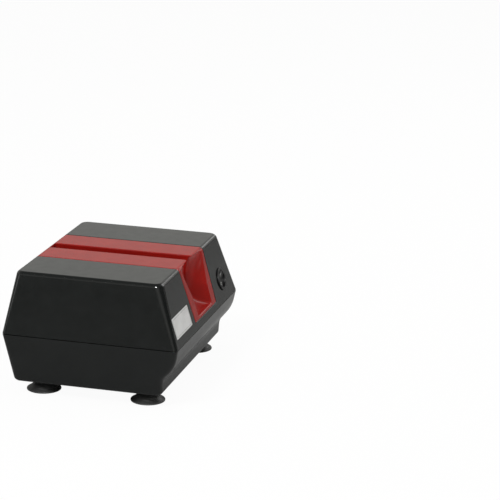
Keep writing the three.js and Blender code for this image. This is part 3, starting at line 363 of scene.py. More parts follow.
def noise(tree, scale, detail=2.0, stretch=None):  # noise in the object's own metres
    where = addNode(tree, "TexCoord")
    socket = where.outputs["Object"]
    if stretch:
        mapping = addNode(tree, "Mapping", {"Scale": stretch})
        tree.links.new(socket, mapping.inputs["Vector"])
        socket = mapping.outputs["Vector"]
    made = addNode(tree, "TexNoise", {"Scale": scale, "Detail": detail})
    tree.links.new(socket, made.inputs["Vector"])
    return made.outputs["Fac"]


noiseRange = (0.3, 0.7)  # the part of the noise's values that is spread over a range


def mapped(tree, socket, low, high, fromLow=noiseRange[0], fromHigh=noiseRange[1]):
    ends = {"From Min": fromLow, "From Max": fromHigh, "To Min": low, "To Max": high}
    made = addNode(tree, "MapRange", ends)
    tree.links.new(socket, made.inputs["Value"])
    return made.outputs["Result"]


def bump(tree, shader, socket, strength, distance, after=None):
    made = addNode(tree, "Bump", {"Strength": strength, "Distance": distance * mm})
    tree.links.new(socket, made.inputs["Height"])
    if after:
        tree.links.new(after.outputs["Normal"], made.inputs["Normal"])
    tree.links.new(made.outputs["Normal"], shader.inputs["Normal"])
    return made


def tinted(tree, shader, socket, low, high):  # varies the colour between two
    ramp = addNode(tree, "ValToRGB")
    for stop, place, color in zip(ramp.color_ramp.elements, noiseRange, (low, high)):
        stop.position = place
        stop.color = (*color, 1)
    tree.links.new(socket, ramp.inputs["Fac"])
    tree.links.new(ramp.outputs["Color"], shader.inputs["Base Color"])


# Each noise is (scale, detail) or (scale, detail, stretch), and each grain (noise, strength, depth)
looks = {
    "glossyBlackPlastic": {
        "color": (0.0040, 0.0051, 0.0050), "rough": 0.15,
        "shades": ((0.0040, 0.0051, 0.0050), (0.0056, 0.0068, 0.0067)), "shadeNoise": (55, 2.0),
        "roughRange": (0.15, 0.21), "roughNoise": (120, 5.0),
        "grains": (((28, 1.0), 0.12, 0.5), ((2600, 2.0), 0.05, 0.02)),  # the first is a moulded wall's faint waves
    },
    "glossyRedPlastic": {
        "color": (0.27, 0.0075, 0.0052), "rough": 0.20, "sockets": {"Specular IOR Level": 0.28},
        "shades": ((0.27, 0.0075, 0.0052), (0.31, 0.0095, 0.0064)), "shadeNoise": (60, 2.0),
        "roughRange": (0.20, 0.26), "roughNoise": (140, 5.0),
        "grains": (((30, 1.0), 0.10, 0.4), ((2400, 2.0), 0.04, 0.02)),
    },
    "blackRubber": {
        "color": (0.039, 0.040, 0.040), "rough": 0.5,
        "shades": ((0.030, 0.031, 0.031), (0.048, 0.049, 0.049)), "shadeNoise": (300, 4.0),
        "roughRange": (0.42, 0.62), "roughNoise": (700, 4.0),
        "grains": (((3200, 3.0), 0.15, 0.03),),
    },
    "switchNylon": {
        "color": (0.009, 0.009, 0.0095), "rough": 0.38,
        "roughRange": (0.32, 0.46), "roughNoise": (900, 4.0),
        "grains": (((4200, 3.0), 0.2, 0.02),),
    },
    "platedSteel": {
        "color": (0.50, 0.51, 0.52), "rough": 0.32, "metal": 1.0,
        "shades": ((0.42, 0.43, 0.44), (0.56, 0.57, 0.575)), "shadeNoise": (220, 5.0),
        "roughRange": (0.24, 0.42), "roughNoise": (500, 5.0),
        "grains": (((1500, 3.0, (1, 14, 1)), 0.08, 0.02),),
    },
    "abrasiveGrit": {
        "color": (0.42, 0.38, 0.32), "rough": 0.85,
        "shades": ((0.16, 0.145, 0.125), (0.62, 0.58, 0.52)), "shadeNoise": (2600, 6.0),
        "grains": (((2600, 6.0), 0.7, 0.12),),
    },
    "sinteredBronze": {
        "color": (0.46, 0.29, 0.12), "rough": 0.45, "metal": 1.0,
        "shades": ((0.32, 0.19, 0.07), (0.50, 0.32, 0.14)), "shadeNoise": (1600, 5.0),
        "grains": (((3000, 4.0), 0.25, 0.03),),
    },
    "whiteNylon": {
        "color": (0.70, 0.68, 0.61), "rough": 0.42,
        "sockets": {"Subsurface Weight": 0.08, "Subsurface Scale": 2 * mm},
        "shades": ((0.66, 0.64, 0.57), (0.74, 0.72, 0.66)), "shadeNoise": (180, 3.0),
        "roughRange": (0.36, 0.5), "roughNoise": (800, 4.0),
        "grains": (((3500, 2.0), 0.06, 0.02),),
    },
    "stackedSheets": {  # fine layers along Y
        "color": (0.20, 0.21, 0.22), "rough": 0.45, "metal": 0.9,
        "shades": ((0.13, 0.14, 0.15), (0.27, 0.28, 0.29)), "shadeNoise": (260, 4.0),
        "grains": (((60, 0.0, (0.02, 34, 0.02)), 0.6, 0.15),),
    },
    "woundCopper": {  # turns of wire, one above the other
        "color": (0.42, 0.16, 0.06), "rough": 0.35, "metal": 0.85,
        "shades": ((0.33, 0.11, 0.04), (0.48, 0.19, 0.07)), "shadeNoise": (400, 3.0),
        "grains": (((60, 0.0, (0.02, 0.02, 40)), 0.8, 0.2),),
    },
    "bobbinNylon": {
        "color": (0.50, 0.34, 0.14), "rough": 0.5,
        "shades": ((0.44, 0.29, 0.11), (0.56, 0.39, 0.17)), "shadeNoise": (700, 4.0),
        "grains": (((2500, 3.0), 0.12, 0.03),),
    },
    "labelFoil": {
        "color": (0.65, 0.65, 0.655), "rough": 0.34,
        "shades": ((0.60, 0.60, 0.605), (0.70, 0.70, 0.705)), "shadeNoise": (90, 3.0),
        "roughRange": (0.28, 0.42), "roughNoise": (260, 4.0),
        "grains": (((40, 1.0), 0.1, 0.1),),
    },
    "whiteInk": {"color": (0.72, 0.72, 0.70), "rough": 0.5, "grains": (((3000, 2.0), 0.1, 0.02),)},
    "greyInk": {"color": (0.16, 0.165, 0.17), "rough": 0.5, "grains": (((3000, 2.0), 0.1, 0.02),)},
}


def makeFinish(name):
    look = looks[name]
    material, tree, shader = newMaterial(name, look["color"], look["rough"], look.get("metal", 0.0))
    for socket, value in look.get("sockets", {}).items():
        shader.inputs[socket].default_value = value
    if "shades" in look:
        tinted(tree, shader, noise(tree, *look["shadeNoise"]), *look["shades"])
    if "roughRange" in look:
        haze = mapped(tree, noise(tree, *look["roughNoise"]), *look["roughRange"])
        tree.links.new(haze, shader.inputs["Roughness"])
    under = None
    for grain, strength, depth in look["grains"]:
        under = bump(tree, shader, noise(tree, *grain), strength, depth, under)
    return material


black = makeFinish("glossyBlackPlastic")
red = makeFinish("glossyRedPlastic")
rubber = makeFinish("blackRubber")
nylon = makeFinish("switchNylon")
steel = makeFinish("platedSteel")
grit = makeFinish("abrasiveGrit")
bronze = makeFinish("sinteredBronze")
whitePlastic = makeFinish("whiteNylon")
laminations = makeFinish("stackedSheets")
copper = makeFinish("woundCopper")
amber = makeFinish("bobbinNylon")
foil = makeFinish("labelFoil")
whiteInk = makeFinish("whiteInk")
greyInk = makeFinish("greyInk")
print("materials made")


# Outer form of the shells

def levelRing(half, front, back, radius, height):
    ring = []
    steps = form["cornerSteps"]
    for x, y, start in ((half, back, 0), (-half, back, 90), (-half, front, 180), (half, front, 270)):
        for step in range(steps + 1):
            angle = math.radians(start + step * 90 / steps)
            ring.append((
                x - math.copysign(radius, x) + radius * math.cos(angle),
                y - math.copysign(radius, y) + radius * math.sin(angle),
                height,
            ))
    return ring


def upperForm(name, inset, fromHeight, footRound=0.0):
    def section(height, drawnIn):
        share = riseShare(height)
        return levelRing(
            mix(form["width"], form["topWidth"], share) / 2 - drawnIn,
            frontAt(height) + drawnIn,
            mix(form["depth"] / 2, form["topBack"], share) - drawnIn,
            max(mix(form["cornerLow"], form["cornerHigh"], share) - drawnIn, form["leastRound"]),
            height,
        )
    top = form["height"] - inset
    edge = max(form["edgeRound"] - inset, form["leastRound"])
    rings = []
    if footRound:
        for angle in quarterTurn(form["partingSteps"]):
            rings.append(section(
                fromHeight + footRound * (1 - math.cos(angle)), inset + footRound * (1 - math.sin(angle))))
    else:
        rings.append(section(fromHeight, inset))
    for angle in quarterTurn(form["edgeSteps"]):
        rings.append(section(top - edge * (1 - math.sin(angle)), inset + edge * (1 - math.cos(angle))))
    return loft(name, rings)


# The opening for the blade guide

panel = {
    "topHalf": 39.0, "lowHalf": 34.3, "lowHeight": 63.6, "corner": 1.6, "backLip": 8.5, "gap": 0.3,
    "edgeRound": 0.7, "skin": 1.6, "near": 0.4, "nearLow": 0.9,  # an edge this near to the outline is part of it
}


def panelHalfAt(height):
    share = (min(height, form["height"]) - panel["lowHeight"]) / (form["height"] - panel["lowHeight"])
    return mix(panel["lowHalf"], panel["topHalf"], share)


def guideSpace(name, grow):
    top = form["height"]
    above = top + form["beyond"]
    half, lowHalf, low = panel["topHalf"] + grow, panel["lowHalf"] + grow, panel["lowHeight"] - grow
    outline = roundedOutline([
        (-lowHalf, low, panel["corner"]), (lowHalf, low, panel["corner"]), (half, top, 0), (half, above, 0),
        (-half, above, 0), (-half, top, 0),
    ])
    behind = form["topFront"] + form["wall"]
    front = prism(name, outline, "y", -form["depth"] / 2 - form["beyond"], behind)
    band = box(
        name + "Band", (-half, behind - form["beyond"], top - panel["backLip"] - grow),
        (half, form["depth"] / 2, above))
    return join(front, band)


def nearSkin(point):  # is a point on or just under the outer surface of the upper form
    back = mix(form["depth"] / 2, form["topBack"], riseShare(point.z))
    depth = min(point.y - frontAt(point.z), form["height"] - point.z, back - point.y)
    return depth < panel["skin"]


def onOpening(grow):  # makes a test: is a point on the outline of the opening
    low = panel["lowHeight"] - grow
    lip = form["height"] - panel["backLip"] - grow

    def test(point):
        if not nearSkin(point):
            return False
        if abs(abs(point.x) - panelHalfAt(point.z) - grow) < panel["near"]:
            return True
        if point.y < 0:
            return abs(point.z - low) < panel["nearLow"]
        return abs(point.z - lip) < panel["near"]
    return test


# Power switch, in a frame on the front slope

switch = {
    "x": 66.0, "height": 77.0, "hole": 10.0, "bezelRadius": 11.0, "bezelHeight": 1.4, "bezelRound": 0.7,
    "tubRadius": 9.7, "tubDepth": 17.0, "wellRadius": 8.3, "wellDepth": 9.0, "wellRound": 0.5, "lift": 0.3,
    "footRound": 0.2, "holeSteps": 64, "steps": 96, "bezelSteps": 5, "wellSteps": 4,
}


def wallFrame(along, up, out, place):  # local X, Y and Z of a piece that sits in a wall
    return Matrix.Translation(place) @ Matrix((along, up, out)).transposed().to_4x4()


switchFrame = wallFrame((1, 0, 0), slopeUp, slopeOut, (switch["x"], frontAt(switch["height"]), switch["height"]))


def drilled(piece, radius, steps, frame):  # a round hole through a wall
    return cut(piece, bar("hole", radius, -form["holeIn"], form["holeOut"], steps, frame))


def makeTopShell():
    shell = upperForm("topShell", 0, form["parting"] + form["seam"] / 2, form["partingRound"])
    cut(shell, upperForm("hollow", form["wall"], form["parting"] - form["beyond"]))
    cut(shell, guideSpace("opening", panel["gap"]))
    softenEdges(shell, onOpening(panel["gap"]), panel["edgeRound"])
    drilled(shell, switch["hole"], switch["holeSteps"], switchFrame)
    smooth(shell)
    return dress(shell, black, stands=("top_housing",))


makeTopShell()
print("top shell made")

# Blade guide

guide = {
    "skin": 3.1, "shell": 2.0, "footHalf": 22.2, "mouthHalf": 23.4, "rimHalf": 35.0, "mouthShare": 0.48,
    "footHeight": 66.2, "footRound": 4.5, "depth": 17.0, "flare": 1.3, "innerFloor": 78.0, "grooveHalf": 7.3,
    "wallHeight": 102.0, "rearFloor": 86.0, "rearStart": 24.0, "end": 66.5, "endRound": 1.2, "endSteps": 6,
    "runOutEnd": 70.8, "runOutDepth": 6.0, "runOutStep": 0.02, "rimRound": 1.1, "rimStart": 0.06, "rimLean": 1.5,
    "rimSteps": 8, "rimSpread": 1.6, "slopeSteps": 14, "cornerSteps": 8, "flareSteps": 26, "perimeterRound": 0.7,
    "perimeterSteps": 4, "pocketStart": 1.2, "pocketUnder": 1.0, "lap": 1.0, "clear": 3.0, "rearLap": 20.0,
}
openHeight = mix(form["parting"], form["height"], guide["mouthShare"])


def mouthHalfAt(height):  # nearly straight sides, which open out towards the top edge
    if height > openHeight:
        return mix(guide["mouthHalf"], guide["rimHalf"], (height - openHeight) / (form["height"] - openHeight))
    foot = guide["footHeight"]
    return mix(guide["footHalf"], guide["mouthHalf"], (height - foot) / (openHeight - foot))


def rimGrowth(depth):  # how far the rounded rim stands back at a depth under the surface
    if depth >= guide["rimRound"]:
        return 0.0
    start = guide["rimStart"]
    share = 1 - (max(depth, 0) / guide["rimRound"] * (1 - start) + start)
    growth = guide["rimRound"] * (1 - math.sqrt(1 - share * share))
    return growth - min(depth, 0) * guide["rimLean"]


def bothSides(side):  # a ring of points from those on its right half
    return side + [(-x, y, z) for x, y, z in reversed(side)]


nearShares = [i / guide["rimSteps"] for i in range(guide["rimSteps"] + 1)]
nearDepths = [guide["rimRound"] * share ** guide["rimSpread"] for share in nearShares]
farShares = [i / guide["flareSteps"] for i in range(2, guide["flareSteps"] + 1)]  # past the rounded rim


def mouthRing(depth, grow):  # outline of the mouth at a depth behind the front slope
    top = form["height"]
    inward = min(max((depth - grow) / guide["depth"], 0), 1)
    flare = math.sin(inward * math.pi / 2)
    out = rimGrowth(depth - grow) + grow
    floor = mix(guide["footHeight"], guide["innerFloor"], inward ** 2) - out
    footRound = mix(guide["footRound"], guide["grooveHalf"] / 2, flare)
    footTop = floor + footRound
    drop = top - openHeight
    slopeShares = [i / guide["slopeSteps"] for i in range(1, guide["slopeSteps"] + 1)]

    def halfAt(height):  # the mouth is less deep towards the top edge
        left = min(max((top + grow - height) / drop, 0), 1)
        turn = min(inward / math.sqrt(left), 1) ** guide["flare"] if left > 0 else 1
        return mix(mouthHalfAt(min(height, top)), guide["grooveHalf"], math.sin(turn * math.pi / 2)) + out

    heights = [top + form["beyond"], top + grow]
    heights += [top - drop * share * share for share in farShares]
    heights += [mix(openHeight, footTop, share) for share in slopeShares]
    side = [(halfAt(height), frontAt(height) + depth, height) for height in heights]
    low = halfAt(footTop)
    for angle in quarterTurn(guide["cornerSteps"])[1:]:
        height = floor + footRound * (1 - math.sin(angle))
        side.append((low - footRound * (1 - math.cos(angle)), frontAt(height) + depth, height))
    return bothSides(side)


def grooveRing(depth, end):  # outline of the groove, over the top edge, on the outer form drawn in by a depth
    top = form["height"] - depth
    out = rimGrowth(depth)
    half = guide["grooveHalf"] + out
    edge = max(form["edgeRound"] - depth, form["leastRound"])
    corner = guide["endRound"] + out
    side = []
    for angle in quarterTurn(guide["endSteps"]):
        side.append((half - corner * (1 - math.sin(angle)), end + out - corner * (1 - math.cos(angle)), top))
    for angle in reversed(quarterTurn(form["edgeSteps"])):
        height = top - edge * (1 - math.sin(angle))
        side.append((half, frontAt(height) + depth + edge * (1 - math.cos(angle)), height))
    side.append((half, frontAt(openHeight) + depth, openHeight))
    return bothSides(side)


def guideCutters():
    beyond, half, deep = form["beyond"], guide["grooveHalf"], guide["depth"]
    above = guide["wallHeight"] + guide["clear"]
    depths = (-beyond, *nearDepths, *(deep * share for share in farShares))
    mouth = loft("mouth", [mouthRing(depth, 0) for depth in depths], mirrored=True)
    levels = [(depth, guide["runOutEnd"]) for depth in (-beyond, *nearDepths, guide["runOutDepth"])]
    levels += [(guide["runOutDepth"] + guide["runOutStep"], guide["end"]), (deep, guide["end"])]
    groove = loft("groove", [grooveRing(*level) for level in levels], mirrored=True)
    throat = box(
        "throat", (-half, frontAt(guide["innerFloor"]) + deep - guide["clear"], guide["innerFloor"] + guide["lap"]),
        (half, guide["rearStart"] - guide["lap"], above))
    rear = box(
        "rearGroove", (-half, form["topFront"] + guide["rearLap"], guide["rearFloor"]), (half, guide["end"], above))
    return mouth, groove, throat, rear


def makeGuide():
    beyond, shell = form["beyond"], guide["shell"]
    skin = upperForm("bladeGuide", 0, form["parting"] - beyond)
    keepInside(skin, guideSpace("space", 0))
    cut(skin, upperForm("inner", guide["skin"], form["parting"] - 2 * beyond))
    softenEdges(skin, onOpening(0), guide["perimeterRound"], guide["perimeterSteps"])
    outer = guide["grooveHalf"] + shell
    below = form["height"] - guide["skin"] / 2
    channelFront = frontAt(guide["wallHeight"]) + guide["depth"] / 2
    depths = (guide["pocketStart"], *(guide["depth"] * share + shell for share in farShares[1::2]))
    pocket = loft("pocket", [mouthRing(depth, shell) for depth in depths], mirrored=True)
    keepInside(pocket, upperForm("under", guide["pocketUnder"], form["parting"] - beyond))
    overWheels = box(
        "walls", (-outer, channelFront, guide["wallHeight"]), (outer, guide["end"] + shell, below))
    behind = box(
        "rear", (-outer, guide["rearStart"], guide["rearFloor"] - shell), (outer, guide["end"] + shell, below))
    runOut = box(
        "runOut", (-outer, guide["end"], form["height"] - guide["runOutDepth"] - shell),
        (outer, guide["runOutEnd"] + guide["lap"], below))
    join(skin, pocket, overWheels, behind, runOut)
    cut(skin, *guideCutters())
    smooth(skin)
    return dress(skin, red, stands=("blade_guide",))


makeGuide()
print("blade guide made")

# Base shell

base = {
    "width": 200.0, "front": -68.0, "back": 74.0, "underside": 12.0, "cornerLow": 7.0, "cornerHigh": 4.0,
    "underRound": 3.0, "nose": 3.35, "noseHeight": 39.7, "rootIn": 15.25, "rootHeight": 26.9, "noseRound": 9.0,
    "rootRound": 5.0, "lipSteps": 9, "footX": 78.0, "footFront": -49.3, "footBack": 51.4, "footHole": 3.9,
    "towerX": 92.0, "towerFront": -24.0, "towerBack": 66.0, "towerBore": 4.0, "towerRadius": 5.5,
    "towerGap": 0.5, "boreDepth": 9.0, "sunk": 1.0, "holeSteps": 40,
    "ventX": 40.09, "ventY": 39.1, "ventWidth": 3.0, "ventLength": 34.0, "ventPitch": 7.0, "ventCount": 5,
}
base["rise"] = form["parting"] - base["underside"]
inlet = {"x": -62.0, "height": 30.0, "hole": 6.5, "holeSteps": 48}


def lipProfile():  # (y, height) down the front of the base, with the nose and the root rounded
    face = -form["depth"] / 2
    corners = [
        (base["front"], base["underside"], 0),
        (face + base["rootIn"], base["rootHeight"], base["rootRound"]),
        (face + base["nose"], base["noseHeight"], base["noseRound"]),
        (face, form["parting"], 0),
    ]
    points = [Vector(corners[0][:2])]
    for i in (1, 2):
        here = Vector(corners[i][:2])
        start = here + (Vector(corners[i - 1][:2]) - here).normalized() * corners[i][2]
        end = here + (Vector(corners[i + 1][:2]) - here).normalized() * corners[i][2]
        points += curved(start, here, end, base["lipSteps"])
    return points + [Vector(corners[3][:2])]


def lowerForm(name, inset, floor, top, topRound=0.0):
    profile = lipProfile()

    def frontOf(height):
        for low, high in zip(profile, profile[1:]):
            if height <= high.y:
                return mix(low.x, high.x, (height - low.y) / (high.y - low.y))
        return profile[-1].x

    def section(height, drawnIn):
        share = (height - base["underside"]) / base["rise"]
        return levelRing(
            mix(base["width"], form["width"], share) / 2 - drawnIn,
            frontOf(height) + drawnIn,
            mix(base["back"], form["depth"] / 2, share) - drawnIn,
            max(mix(base["cornerLow"], base["cornerHigh"], share) - drawnIn, form["leastRound"]),
            height,
        )
    edge = max(base["underRound"] - inset, form["leastRound"])
    rings = []
    for angle in reversed(quarterTurn(form["edgeSteps"])):
        rings.append(section(floor + edge * (1 - math.sin(angle)), inset + edge * (1 - math.cos(angle))))
    rings += [section(point.y, inset) for point in profile[1:-1]]
    if topRound:
        for angle in quarterTurn(form["partingSteps"]):
            rings.append(section(top - topRound * (1 - math.sin(angle)), inset + topRound * (1 - math.cos(angle))))
    else:
        rings.append(section(top, inset))
    return loft(name, rings)


backUp = Vector((0, form["depth"] / 2 - base["back"], base["rise"])).normalized()
backOut = Vector((-1, 0, 0)).cross(backUp)
inletY = mix(base["back"], form["depth"] / 2, (inlet["height"] - base["underside"]) / base["rise"])
inletFrame = wallFrame((-1, 0, 0), backUp, backOut, (inlet["x"], inletY, inlet["height"]))


def atCorners(x, frontY, backY):  # four places, named by row and side
    return {
        f"{row}_{side}": (sign * x, y)
        for side, sign in (("left", -1), ("right", 1)) for row, y in (("front", frontY), ("back", backY))
    }


feet = atCorners(base["footX"], base["footFront"], base["footBack"])
towers = atCorners(base["towerX"], base["towerFront"], base["towerBack"])


def upright(name, x, y, radius, low, high):
    return bar(name, radius, low, high, base["holeSteps"], Matrix.Translation((x, y, 0)))


def makeBaseShell():
    top = form["parting"] - form["seam"] / 2
    under = base["underside"]
    floor = under + form["wall"]
    below, above = under - form["beyond"], floor + form["beyond"]
    shell = lowerForm("baseShell", 0, under, top, form["partingRound"])
    cut(shell, lowerForm("hollow", form["wall"], floor, top + form["beyond"]))
    for x, y in towers.values():
        tower = upright("tower", x, y, base["towerRadius"], under + base["sunk"], top - base["towerGap"])
        join(shell, keepInside(tower, lowerForm("within", form["wall"] / 2, floor - base["sunk"], top)))
        cut(shell, upright("bore", x, y, base["towerBore"], below, top - base["boreDepth"]))
    cut(shell, *(upright("hole", x, y, base["footHole"], below, above) for x, y in feet.values()))
    half, reach, y = base["ventWidth"] / 2, base["ventLength"] / 2, base["ventY"]
    for i in range(base["ventCount"]):
        x = base["ventX"] + (i - (base["ventCount"] - 1) / 2) * base["ventPitch"]
        outline = roundedOutline([
            (x - half, y - reach, half), (x + half, y - reach, half),
            (x + half, y + reach, half), (x - half, y + reach, half),
        ])
        cut(shell, prism("vent", outline, "z", below, above))
    drilled(shell, inlet["hole"], inlet["holeSteps"], inletFrame)
    smooth(shell)
    return dress(shell, black, stands=("base_housing",))


makeBaseShell()
print("base shell made")

# Suction feet

foot = {
    "radius": 16.0, "rim": 2.6, "rimHeight": 1.0, "waist": 6.2, "cupHeight": 7.5, "hollow": 4.4, "neck": 3.6,
    "flangeRadius": 8.5, "flange": 1.4, "bulb": 4.8, "bulbHeight": 3.0, "gap": 0.3, "steps": 72, "degrees": 50,
    "edge": 0.3, "round": 0.4, "lip": 0.5, "fillet": 0.6, "brim": 0.25, "brimRise": 1.6, "brimBend": 0.78,
    "hollowFlat": 0.3, "hollowBend": 0.66, "hollowDrop": 0.95, "shoulder": 0.66, "shoulderHeight": 5.2,
    "bulbBend": 0.9, "bulbTip": 0.5, "hollowSteps": 8, "edgeSteps": 3, "cupSteps": 6, "neckSteps": 5,
}


def footProfile():  # (radius, height) from the middle of the hollow round the rim and up to the bulb
    top = base["underside"] - foot["gap"]
    above = base["underside"] + form["wall"] + foot["gap"]
    radius, hollow, waist, neck, bulb = (foot[key] for key in ("radius", "hollow", "waist", "neck", "bulb"))
    edge, small, fillet, wide = foot["edge"], foot["round"], foot["fillet"], foot["flangeRadius"]
    inside, rimTop, lipX = radius - foot["rim"], foot["rimHeight"], radius - foot["lip"]
    few, some = foot["edgeSteps"], foot["neckSteps"]
    flangeLow, bulbTop = top - foot["flange"], above + foot["bulbHeight"]
    shoulder = (radius * foot["shoulder"], foot["shoulderHeight"])
    return [
        (0, hollow),
        *curved(
            (radius * foot["hollowFlat"], hollow), (radius * foot["hollowBend"], hollow * foot["hollowDrop"]),
            (inside, foot["brim"]), foot["hollowSteps"]),
        (inside + edge, 0), (radius - edge, 0),
        *curved((radius - edge, 0), (radius, 0), (radius, small), few)[1:],
        *curved((radius, rimTop - edge), (radius, rimTop), (lipX, rimTop + edge), few),
        *curved(
            (lipX, rimTop + edge), (radius * foot["brimBend"], rimTop + foot["brimRise"]), shoulder,
            foot["cupSteps"])[1:],
        *curved(shoulder, (waist, foot["cupHeight"] - fillet), (waist, foot["cupHeight"]), some)[1:],
        (waist, flangeLow - fillet),
        *curved((waist, flangeLow - fillet), (waist, flangeLow), (waist + fillet, flangeLow), few)[1:],
        *curved((wide - small, flangeLow), (wide, flangeLow), (wide, flangeLow + small), few),
        (wide, top), (neck, top), (neck, above), (bulb, above), (bulb, above + fillet),
        *curved(
            (bulb, above + fillet), (bulb * foot["bulbBend"], bulbTop), (neck * foot["bulbTip"], bulbTop),
            some)[1:],
        (0, bulbTop),
    ]


def makeFoot(place, x, y):
    piece = turned("suctionFoot_" + place, footProfile(), foot["steps"], Matrix.Translation((x, y, 0)))
    smooth(piece, foot["degrees"])
    return dress(piece, rubber, stands=("suction_foot_" + place,))


for place, (x, y) in feet.items():
    makeFoot(place, x, y)
print("feet made")

# The switch's bezel and rocker

def makeSwitch():
    tub, well, bezel, height = (switch[key] for key in ("tubRadius", "wellRadius", "bezelRadius", "bezelHeight"))
    lift, rounded, wellRound = switch["lift"], switch["bezelRound"], switch["wellRound"]
    profile = [
        (0, -switch["tubDepth"]), (tub, -switch["tubDepth"]), (tub, lift),
        (bezel - switch["footRound"], lift), (bezel, lift + switch["footRound"]),
        *curved((bezel, height - rounded), (bezel, height), (bezel - rounded, height), switch["bezelSteps"]),
        *curved((well + wellRound, height), (well, height), (well, height - wellRound), switch["wellSteps"]),
        (well, -switch["wellDepth"]), (0, -switch["wellDepth"]),
    ]
    piece = turned("switchBezel", profile, switch["steps"], switchFrame)
    smooth(piece)
    dress(piece, nylon, stands=("switch_housing",))


paddle = {
    "radius": 7.9, "pivotDepth": 1.0, "tilt": 10.0, "crown": 2.2, "thickness": 4.6, "taper": 1.7, "steps": 96,
    "fold": 0.55, "hollow": 0.012, "degrees": 40,
    "rings": (  # share of the radius and drop of each ring of the face
        (0.05, 0), (0.2, 0), (0.4, 0), (0.6, 0), (0.78, 0), (0.9, 0), (0.965, -0.02), (0.99, -0.1), (1, -0.3)),
}
marks = {
    "lift": 0.03, "thickness": 0.05, "offY": -4.3, "offWide": 1.15, "offTall": 1.5, "offLine": 0.35, "offSteps": 48,
    "onHalf": 0.2, "onLow": 2.9, "onHigh": 5.7,
}
rockerFrame = switchFrame @ Matrix.Translation((0, 0, -paddle["pivotDepth"])) @ Matrix.Rotation(
    math.radians(paddle["tilt"]), 4, "X")


def circle(wide, tall, steps, y=0):
    turn = [2 * math.pi * i / steps for i in range(steps)]
    return [(wide * math.cos(angle), y + tall * math.sin(angle)) for angle in turn]


def faceAt(x, y):  # height of the rocker's face
    fold = math.hypot(y, paddle["fold"]) - paddle["fold"]
    return min(math.tan(math.radians(paddle["tilt"])) * fold + paddle["hollow"] * x * x, paddle["crown"])


def makeRocker():  # two faces that meet in a shallow V, each a little hollow; the lower is pressed in at rest
    steps, radius, rings = paddle["steps"], paddle["radius"], paddle["rings"]
    points, faces = [Vector((0, 0, faceAt(0, 0)))], []
    for share, drop in rings:
        points += [Vector((x, y, faceAt(x, y) + drop)) for x, y in circle(radius * share, radius * share, steps)]
    low = radius - paddle["taper"]
    points += [Vector((x, y, -paddle["thickness"])) for x, y in circle(low, low, steps)]
    for i in range(steps):
        faces.append((0, 1 + i, 1 + (i + 1) % steps))
    for level in range(len(rings)):
        here, there = 1 + level * steps, 1 + (level + 1) * steps
        for i in range(steps):
            j = (i + 1) % steps
            faces.append((here + i, there + i, there + j, here + j))
    faces.append(tuple(1 + len(rings) * steps + i for i in reversed(range(steps))))
    button = outward(meshPiece("switchRocker", [rockerFrame @ point for point in points], faces))
    smooth(button, paddle["degrees"])
    dress(button, nylon, body="power_rocker", stands=("switch_rocker",))


def makeMark(name, outline, hole=()):  # a thin printed mark that follows the rocker's face
    count = len(outline)
    points = [rockerFrame @ Vector((x, y, faceAt(x, y) + marks["lift"])) for x, y in (*outline, *hole)]
    if hole:
        faces = [(i, (i + 1) % count, count + (i + 1) % count, count + i) for i in range(count)]
    else:
        faces = [tuple(range(count))]
    piece = meshPiece(name, points, faces)
    thick = piece.modifiers.new("thickness", "SOLIDIFY")
    thick.thickness = marks["thickness"] * mm
    thick.offset = 0
    settle(piece)
    dress(piece, whiteInk, body="power_rocker")


def makeMarks():
    wide, tall, line = marks["offWide"], marks["offTall"], marks["offLine"]
    half, low, high = marks["onHalf"], marks["onLow"], marks["onHigh"]
    makeMark(
        "markOff", circle(wide, tall, marks["offSteps"], marks["offY"]),
        circle(wide - line, tall - line, marks["offSteps"], marks["offY"]))
    makeMark("markOn", [(-half, low), (half, low), (half, high), (-half, high)])


makeSwitch()
makeRocker()
makeMarks()
print("switch made")

# Mains inlet bushing

bushing = {
    "bore": 3.5, "flange": 8.0, "height": 1.6, "neck": 6.2, "inner": 7.4, "innerDepth": 2.2, "gap": 0.3,
    "flangeRound": 0.8, "boreRound": 0.9, "roundSteps": 6, "steps": 64,
}


def makeBushing():
    bore, neck, inner, flange, height = (bushing[key] for key in ("bore", "neck", "inner", "flange", "height"))
    gap, flangeRound, boreRound, count = (bushing[key] for key in ("gap", "flangeRound", "boreRound", "roundSteps"))
    wall = form["wall"]
    deep = -wall - bushing["innerDepth"]
    profile = [
        (bore, deep), (inner, deep), (inner, -wall - gap), (neck, -wall - gap), (neck, gap), (flange, gap),
        *curved((flange, height - flangeRound), (flange, height), (flange - flangeRound, height), count),
        *curved((bore + boreRound, height), (bore, height), (bore, height - boreRound), count),
    ]
    piece = turned("inletBushing", profile, bushing["steps"], inletFrame)
    smooth(piece)
    dress(piece, rubber, stands=("inlet_grommet",))


makeBushing()
print("mains bushing made")

# Blank rating label on the front slope, left of the mouth

label = {
    "left": -93.0, "right": -45.0, "low": 65.2, "high": 83.9, "corner": 1.2, "lift": 0.02, "thickness": 0.12,
    "border": 1.4, "line": 0.25, "borderCorner": 0.8, "borderInner": 0.7, "inkLift": 0.005, "ink": 0.02,
}


def onSlope(x, height, out):
    return Vector((x, frontAt(height), height)) + slopeOut * out


def slopePlate(name, outline, low, high, material, hole=()):  # a thin plate on the slope, with an opening
    def ring(outline, out):
        return [onSlope(x, height, out) for x, height in outline]
    rings = [ring(outline, low), ring(outline, high)]
    if hole:
        rings += [ring(hole, high), ring(hole, low)]
    piece = loft(name, rings, closed=bool(hole))
    smooth(piece)
    return dress(piece, material)


def plateOutline(inset, corner):
    left, right = label["left"] + inset, label["right"] - inset
    low, high = label["low"] + inset, label["high"] - inset
    return roundedOutline([(left, low, corner), (right, low, corner), (right, high, corner), (left, high, corner)])


